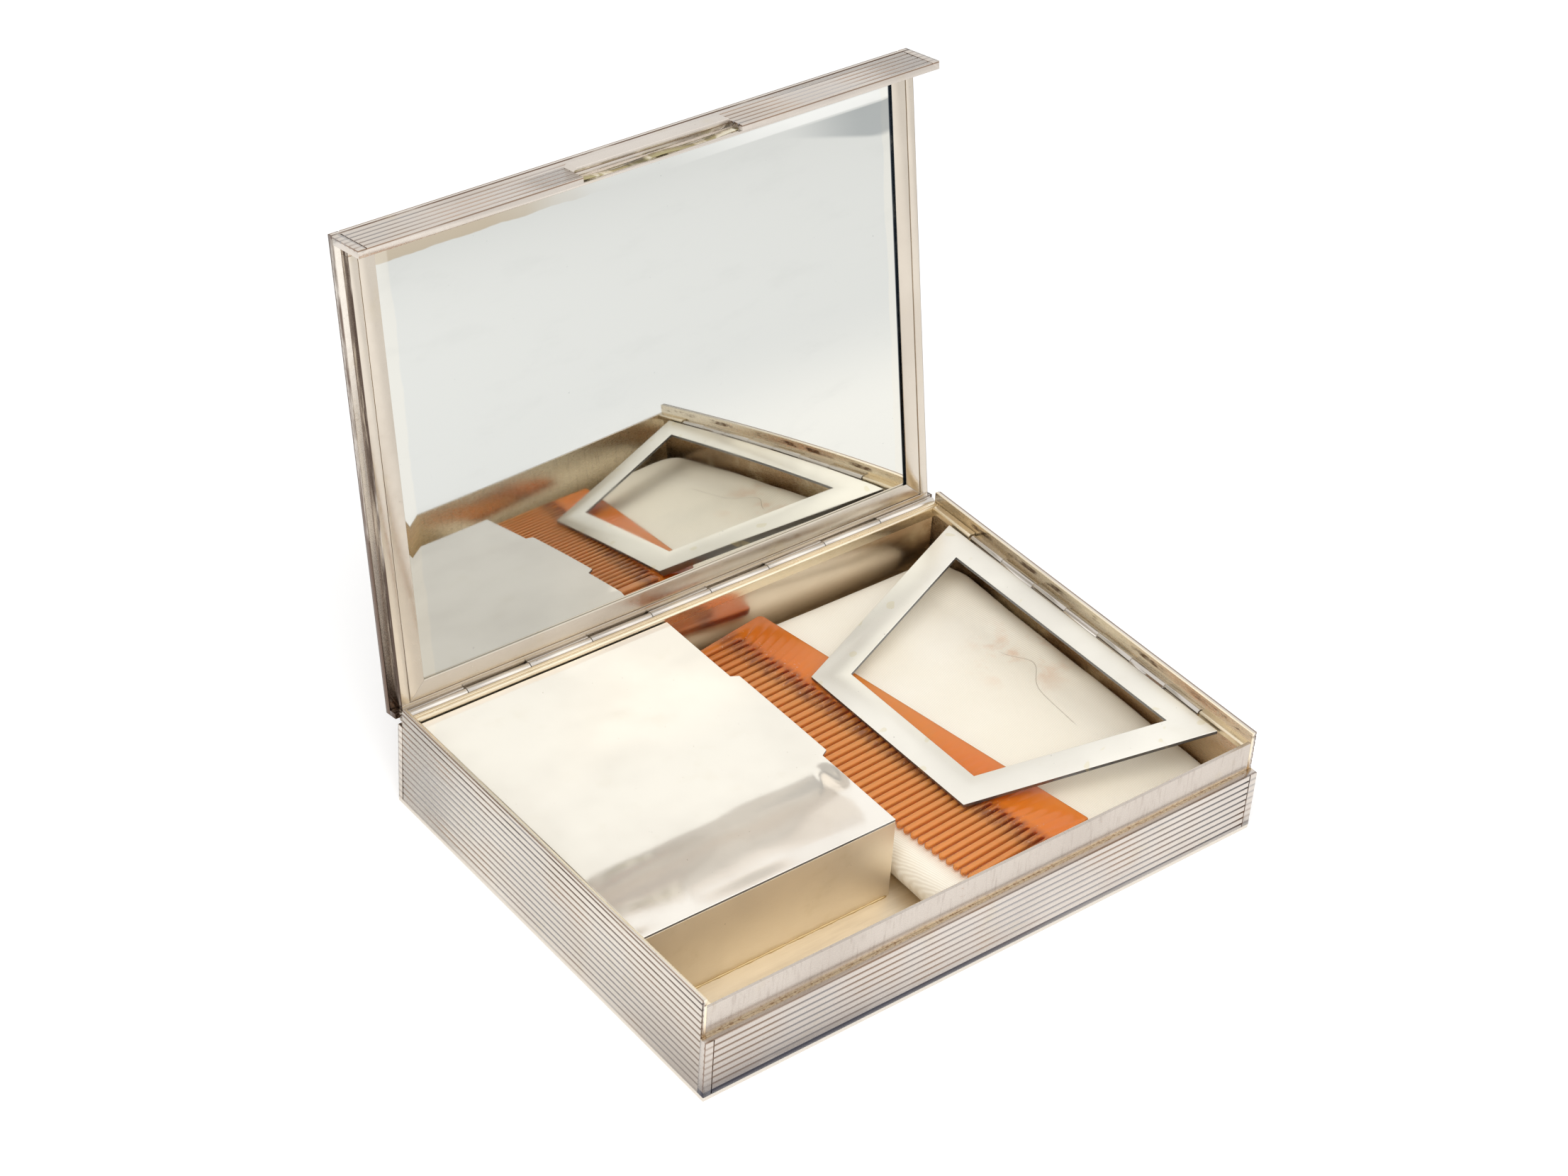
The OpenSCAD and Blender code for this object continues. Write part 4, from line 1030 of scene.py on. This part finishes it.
def finish_case():
    """The reeded and plain silver of the case and its bottom."""
    wall = silver(
        "side reeds", groove=("X", HALF_WIDTH), inner=INNER_TONE, marks=wall_marks,
        reeds=standing_reeds(WALL_TOP, WALL_BORDERS, WALL_REEDS),
    )
    for name in ("left_wall", "right_wall"):
        soft_edged(name, wall, REED_EDGE, 1)
    back = silver(
        "back reeds", groove=("Y", HALF_DEPTH), inner=BACK_INNER_TONE, rough=0.21, stain=0.08,
        brushed=(0.05, 0.05, 0.4), reeds=standing_reeds(BACK_TOP, WALL_BORDERS, BACK_REEDS),
    )
    soft_edged("back_wall", back, REED_EDGE, 1)
    panel = silver(
        "front reeds", PANEL_TONE, groove=("Y", HALF_DEPTH), marks=panel_marks,
        reeds=standing_reeds(PANEL_TOP, PANEL_BORDERS, PANEL_REEDS),
    )
    soft_edged("front_panel", panel, REED_EDGE, 1)
    flange = silver(
        "flange reeds", FLANGE_TONE, shut=True, groove=("Y", HALF_DEPTH),
        reeds=("Z", FLANGE_FIRST, FLANGE_PITCH),
    )
    soft_edged("lid_flange", flange, REED_EDGE, 1)
    lid = silver(
        "lid reeds", shut=True, groove=("Z", SHUT_TOP), marks=plate_marks,
        reeds=("Y", PLATE_FIRST, -2 * PLATE_FIRST / PLATE_REEDS),
    )
    soft_edged("lid_plate", lid, REED_EDGE, 1)
    tray = silver(
        "tray silver", INNER_TONE, rough=0.45, marks=tray_marks, brushed=(0.1, 1.0, 1.0),
        metal=0.9,
    )
    soft_edged("bottom_plate", tray)
    soft_edged("front_lip", silver("lip silver", LIP_TONE, marks=lip_marks))
    ledge = silver("ledge silver", LEDGE_TONE, rough=0.3, brushed=(0.06, 0.06, 1.0))
    for name in ("left_ledge", "right_ledge", "back_ledge"):
        soft_edged(name, ledge)
    box = silver("box silver", INNER_TONE, rough=0.42, brushed=(0.1, 1.0, 1.0), metal=0.75)
    for name in ("powder_box_front", "powder_box_side"):
        soft_edged(name, box)
    rim = silver(
        "lid rim silver", RIM_TONE, shut=True, rough=0.22, marks=rim_marks,
        brushed=(0.05, 0.05, 1.0),
    )
    for kind in ("lid_{}_rail", "bezel_{}"):
        for side in ("left", "right", "front", "back"):
            soft_edged(kind.format(side), rim)
    thumb = silver("thumb silver", THUMB_TONE, shut=True, rough=0.3, stain=0.3)
    soft_edged("thumb_plate", thumb)


def finish_fittings():
    """The retaining frame, the powder lid, the hinges, the catch spring and the solder."""
    # The frame's upright faces get a painted dark reflection.
    bars = silver(
        "frame silver", FITTING_TONE, rough=0.34, stain=0.08, edge_reflection=0.8, marks=frame_marks,
        brushed=(0.5, 1.6, 1.0), metal=0.85,
    )
    soft_edged("retaining_frame", bars, 0.12)
    # The powder lid's upright faces get a painted dark reflection.
    make_cover(
        silver("cover silver", COVER_TONE, rough=0.05, stain=0.08, edge_reflection=0.8, metal=0.62)
    )
    tubes = silver("hinge silver", HINGE_TONE, rough=0.2, brushed=(0.1, 1.0, 1.0))
    for name, slot in (
        ("base_hinge_knuckles", "case_silver"), ("frame_base_knuckles", "case_silver"),
        ("powder_base_knuckles", "case_silver"), ("lid_hinge_knuckles", "case_silver"),
        ("powder_lid_knuckles", "fitting_silver"), ("frame_knuckles", "fitting_silver"),
    ):
        soft_edged(name, tubes, 0.06)
    pins = silver("pin metal", PIN_TONE, rough=0.3, stain=0.4)
    for name in ("lid_hinge_pin", "powder_hinge_pin", "frame_hinge_pin"):
        soft_edged(name, pins, 0.08)
    gilt = silver(
        "gilt spring", GILT_TONE, shut=True, rough=0.3, stain=0.5, marks=gilt_marks,
        brushed=(0.3, 1.0, 1.0),
    )
    soft_edged("catch_spring", gilt, 0.04, 1)
    solder = silver("solder", SOLDER_TONE, rough=0.38, stain=0.6)
    bead("solder_box_foot", (-73.6, -29.5, 1.0), (-6.6, -29.5, 1.0), 0.3, solder)
    bead("solder_box_corner", (-5.9, -29.2, 1.0), (-5.9, -20.0, 1.0), 0.25, solder)


finish_case()
finish_fittings()


# Mirror


def mirror():
    """Silvered glass, cool and slightly green, with a painted brighter reflection towards the hinge
    at the right.

    Painted reflections lie on the bevel: tan along the front at the left, pale at the right and
    yellowish at both sides. A painted grey reflection lies as a wedge in the front right corner,
    and a painted dark reflection of the bezel's edge lies as a line at the right.
    """
    t = Tree("mirror")
    place = t.case_mm(shut=True)
    x, y, _ = t.axes(place)
    # Painted brighter reflection in a patch towards the hinge.
    painted_bright_patch = t.times(t.ramp(y, -2, 28), t.ramp(x, -40, -8))
    colour = t.mix(painted_bright_patch, tone(205, 206, 202), tone(224, 223, 216))
    specks = t.ramp(t.noise(place, 0.9, 2.0, 0.5), 0.76, 0.8, 0.0, 0.5)
    colour = t.mix(specks, colour, tone(146, 150, 150))

    wander = t.times(t.minus(t.noise(place, 0.12, 2.0), 0.5), 1.6)
    # Painted reflections on the bevel: tan along the front at the left, a pale glint at the right
    # and yellowish bands at the sides.
    front = t.ramp(t.plus(y, wander), -48.2, -47.9, 1.0, 0.0)
    tan = t.times(front, t.ramp(t.plus(x, t.times(wander, 6.0)), -40, -8, 0.75, 0.0))
    colour = t.mix(tan, colour, tone(176, 158, 130))
    glint = t.times(t.pulse(y, -49.0, 0.9, 0.5), t.ramp(x, 0, 45, 0.0, 0.8))
    colour = t.mix(glint, colour, tone(236, 236, 232))
    side = t.ramp(t.plus(t.size(x), wander), GLASS_SIDE - 4.3, GLASS_SIDE - 3.8, 0.0, 0.3)
    colour = t.mix(side, colour, tone(228, 222, 208))

    # Painted grey reflection in a wedge at the front right corner.
    reflected_wedge = t.minus(t.times(t.minus(x, 30.0), 0.26), t.plus(y, 47.4))
    corner = t.times(
        t.ramp(reflected_wedge, 0.0, 1.2), t.ramp(y, -47.6, -47.2), t.ramp(y, -40.5, -38.6, 1.0, 0.0),
        t.ramp(x, 34, 60, 0.0, 0.6),
    )
    colour = t.mix(corner, colour, tone(130, 136, 138))
    # Painted dark reflection of the bezel's edge, in a line at the right.
    bezel_reflection = t.ramp(x, GLASS_SIDE - 1.9, GLASS_SIDE - 1.5)
    colour = t.mix(bezel_reflection, colour, tone(38, 48, 60))
    wiped = t.noise(t.stretch(place, (0.5, 1.4, 1.0)), 0.09, 5.0, 0.62)
    colour = t.mix(t.ramp(wiped, 0.5, 0.75, 0.0, 0.14), colour, tone(182, 184, 180))
    haze = t.ramp(t.noise(place, 0.05, 4.0, 0.6), 0.35, 0.75, 0.015, 0.05)
    return t.finish(Base_Color=colour, Metallic=1.0, Roughness=haze)


def card():
    """Dark backing card with short fibres."""
    t = Tree("backing card")
    fibres = t.noise(t.stretch(t.case_mm(), (1.0, 3.0, 1.0)), 2.0, 4.0, 0.7)
    colour = t.mix(fibres, tone(92, 84, 76), tone(128, 118, 106))
    return t.finish(Base_Color=colour, Roughness=0.85, Normal=t.bump(fibres, 0.05 * MM))


soft_edged("mirror_glass", mirror(), 0.05, 1)
backing = frame["nodes"]["mirror_backing"].data
backing.materials.clear()
backing.materials.append(card())


# Studio

# Each lamp's place, size, power and whether gloss shows it
LAMPS = {
    "key": ((-0.5, -0.5, 1.0), 0.9, 8.2, False),
    "fill": ((0.62, -0.45, 0.93), 0.95, 1.75, True),
}
WORLD_LIT, WORLD_SEEN = 0.75, 1.0
FLOOR_GLOW = 0.16
FLOOR_HALF = 3.0


def white_seen(tree, lit, seen):
    """A strength that is seen by the camera, gloss and transmission, and lit for other rays."""
    path = tree.nodes.new("ShaderNodeLightPath")
    total = path.outputs["Is Camera Ray"]
    for name in ("Is Glossy Ray", "Is Transmission Ray"):
        node = tree.nodes.new("ShaderNodeMath")
        node.operation = "MAXIMUM"
        tree.links.new(total, node.inputs[0])
        tree.links.new(path.outputs[name], node.inputs[1])
        total = node.outputs[0]
    node = tree.nodes.new("ShaderNodeMapRange")
    tree.links.new(total, node.inputs["Value"])
    node.inputs["To Min"].default_value = lit
    node.inputs["To Max"].default_value = seen
    return node.outputs[0]


def studio():
    """A white world and two broad soft lamps that point at the case."""
    scene = bpy.context.scene
    scene.view_settings.view_transform = "Standard"
    world = bpy.data.worlds.new("studio")
    scene.world = world
    world.use_nodes = True
    tree = world.node_tree
    background = tree.nodes["Background"]
    background.inputs["Color"].default_value = (1, 1, 1, 1)
    tree.links.new(white_seen(tree, WORLD_LIT, WORLD_SEEN), background.inputs["Strength"])
    for name, (place, size, power, gloss) in LAMPS.items():
        lamp = bpy.data.lights.new(name, "AREA")
        lamp.size = size
        lamp.energy = power
        light = bpy.data.objects.new(name, lamp)
        light.location = place
        light.visible_glossy = gloss
        light.rotation_euler = (-Vector(place)).to_track_quat("-Z", "Y").to_euler()
        scene.collection.objects.link(light)


def floor():
    """A wide pale floor under the case, which keeps its shadow."""
    mesh = bpy.data.meshes.new("floor")
    corners = [(x * FLOOR_HALF, y * FLOOR_HALF, 0) for x, y in ((-1, -1), (1, -1), (1, 1), (-1, 1))]
    mesh.from_pydata(corners, [], [(0, 1, 2, 3)])
    piece = bpy.data.objects.new("floor", mesh)
    bpy.context.scene.collection.objects.link(piece)
    t = Tree("pale floor")
    glow = white_seen(t.tree, 0.0, FLOOR_GLOW)
    mesh.materials.append(t.finish(
        Base_Color=(0.9, 0.9, 0.9), Roughness=0.9, Emission_Color=(1, 1, 1), Emission_Strength=glow
    ))


CAMERA_AZIMUTH = math.radians(-39.97)
CAMERA_ELEVATION = math.radians(36.64)
CAMERA_ROLL = math.radians(3.99)
CAMERA_TARGET = Vector((7.57, 28.59, 40.98)) * MM
CAMERA_DISTANCE = 762.2 * MM
CAMERA_LENS = 79.86


def camera():
    """The photograph's view: the direction, roll and lens were fitted to the case's edges."""
    back = Vector((
        math.sin(CAMERA_AZIMUTH) * math.cos(CAMERA_ELEVATION),
        -math.cos(CAMERA_AZIMUTH) * math.cos(CAMERA_ELEVATION),
        math.sin(CAMERA_ELEVATION),
    ))
    right = Vector((math.cos(CAMERA_AZIMUTH), math.sin(CAMERA_AZIMUTH), 0))
    up = back.cross(right)
    rolled = right * math.cos(CAMERA_ROLL) + up * math.sin(CAMERA_ROLL)
    upright = up * math.cos(CAMERA_ROLL) - right * math.sin(CAMERA_ROLL)
    data = bpy.data.cameras.new("camera")
    data.lens = CAMERA_LENS
    data.sensor_width = 36.0
    data.clip_start = 0.01
    piece = bpy.data.objects.new("camera", data)
    turn = Matrix((rolled, upright, back)).transposed()
    place = CAMERA_TARGET + back * CAMERA_DISTANCE
    piece.matrix_world = Matrix.Translation(place) @ turn.to_4x4()
    bpy.context.scene.collection.objects.link(piece)
    bpy.context.scene.camera = piece


studio()
floor()
camera()
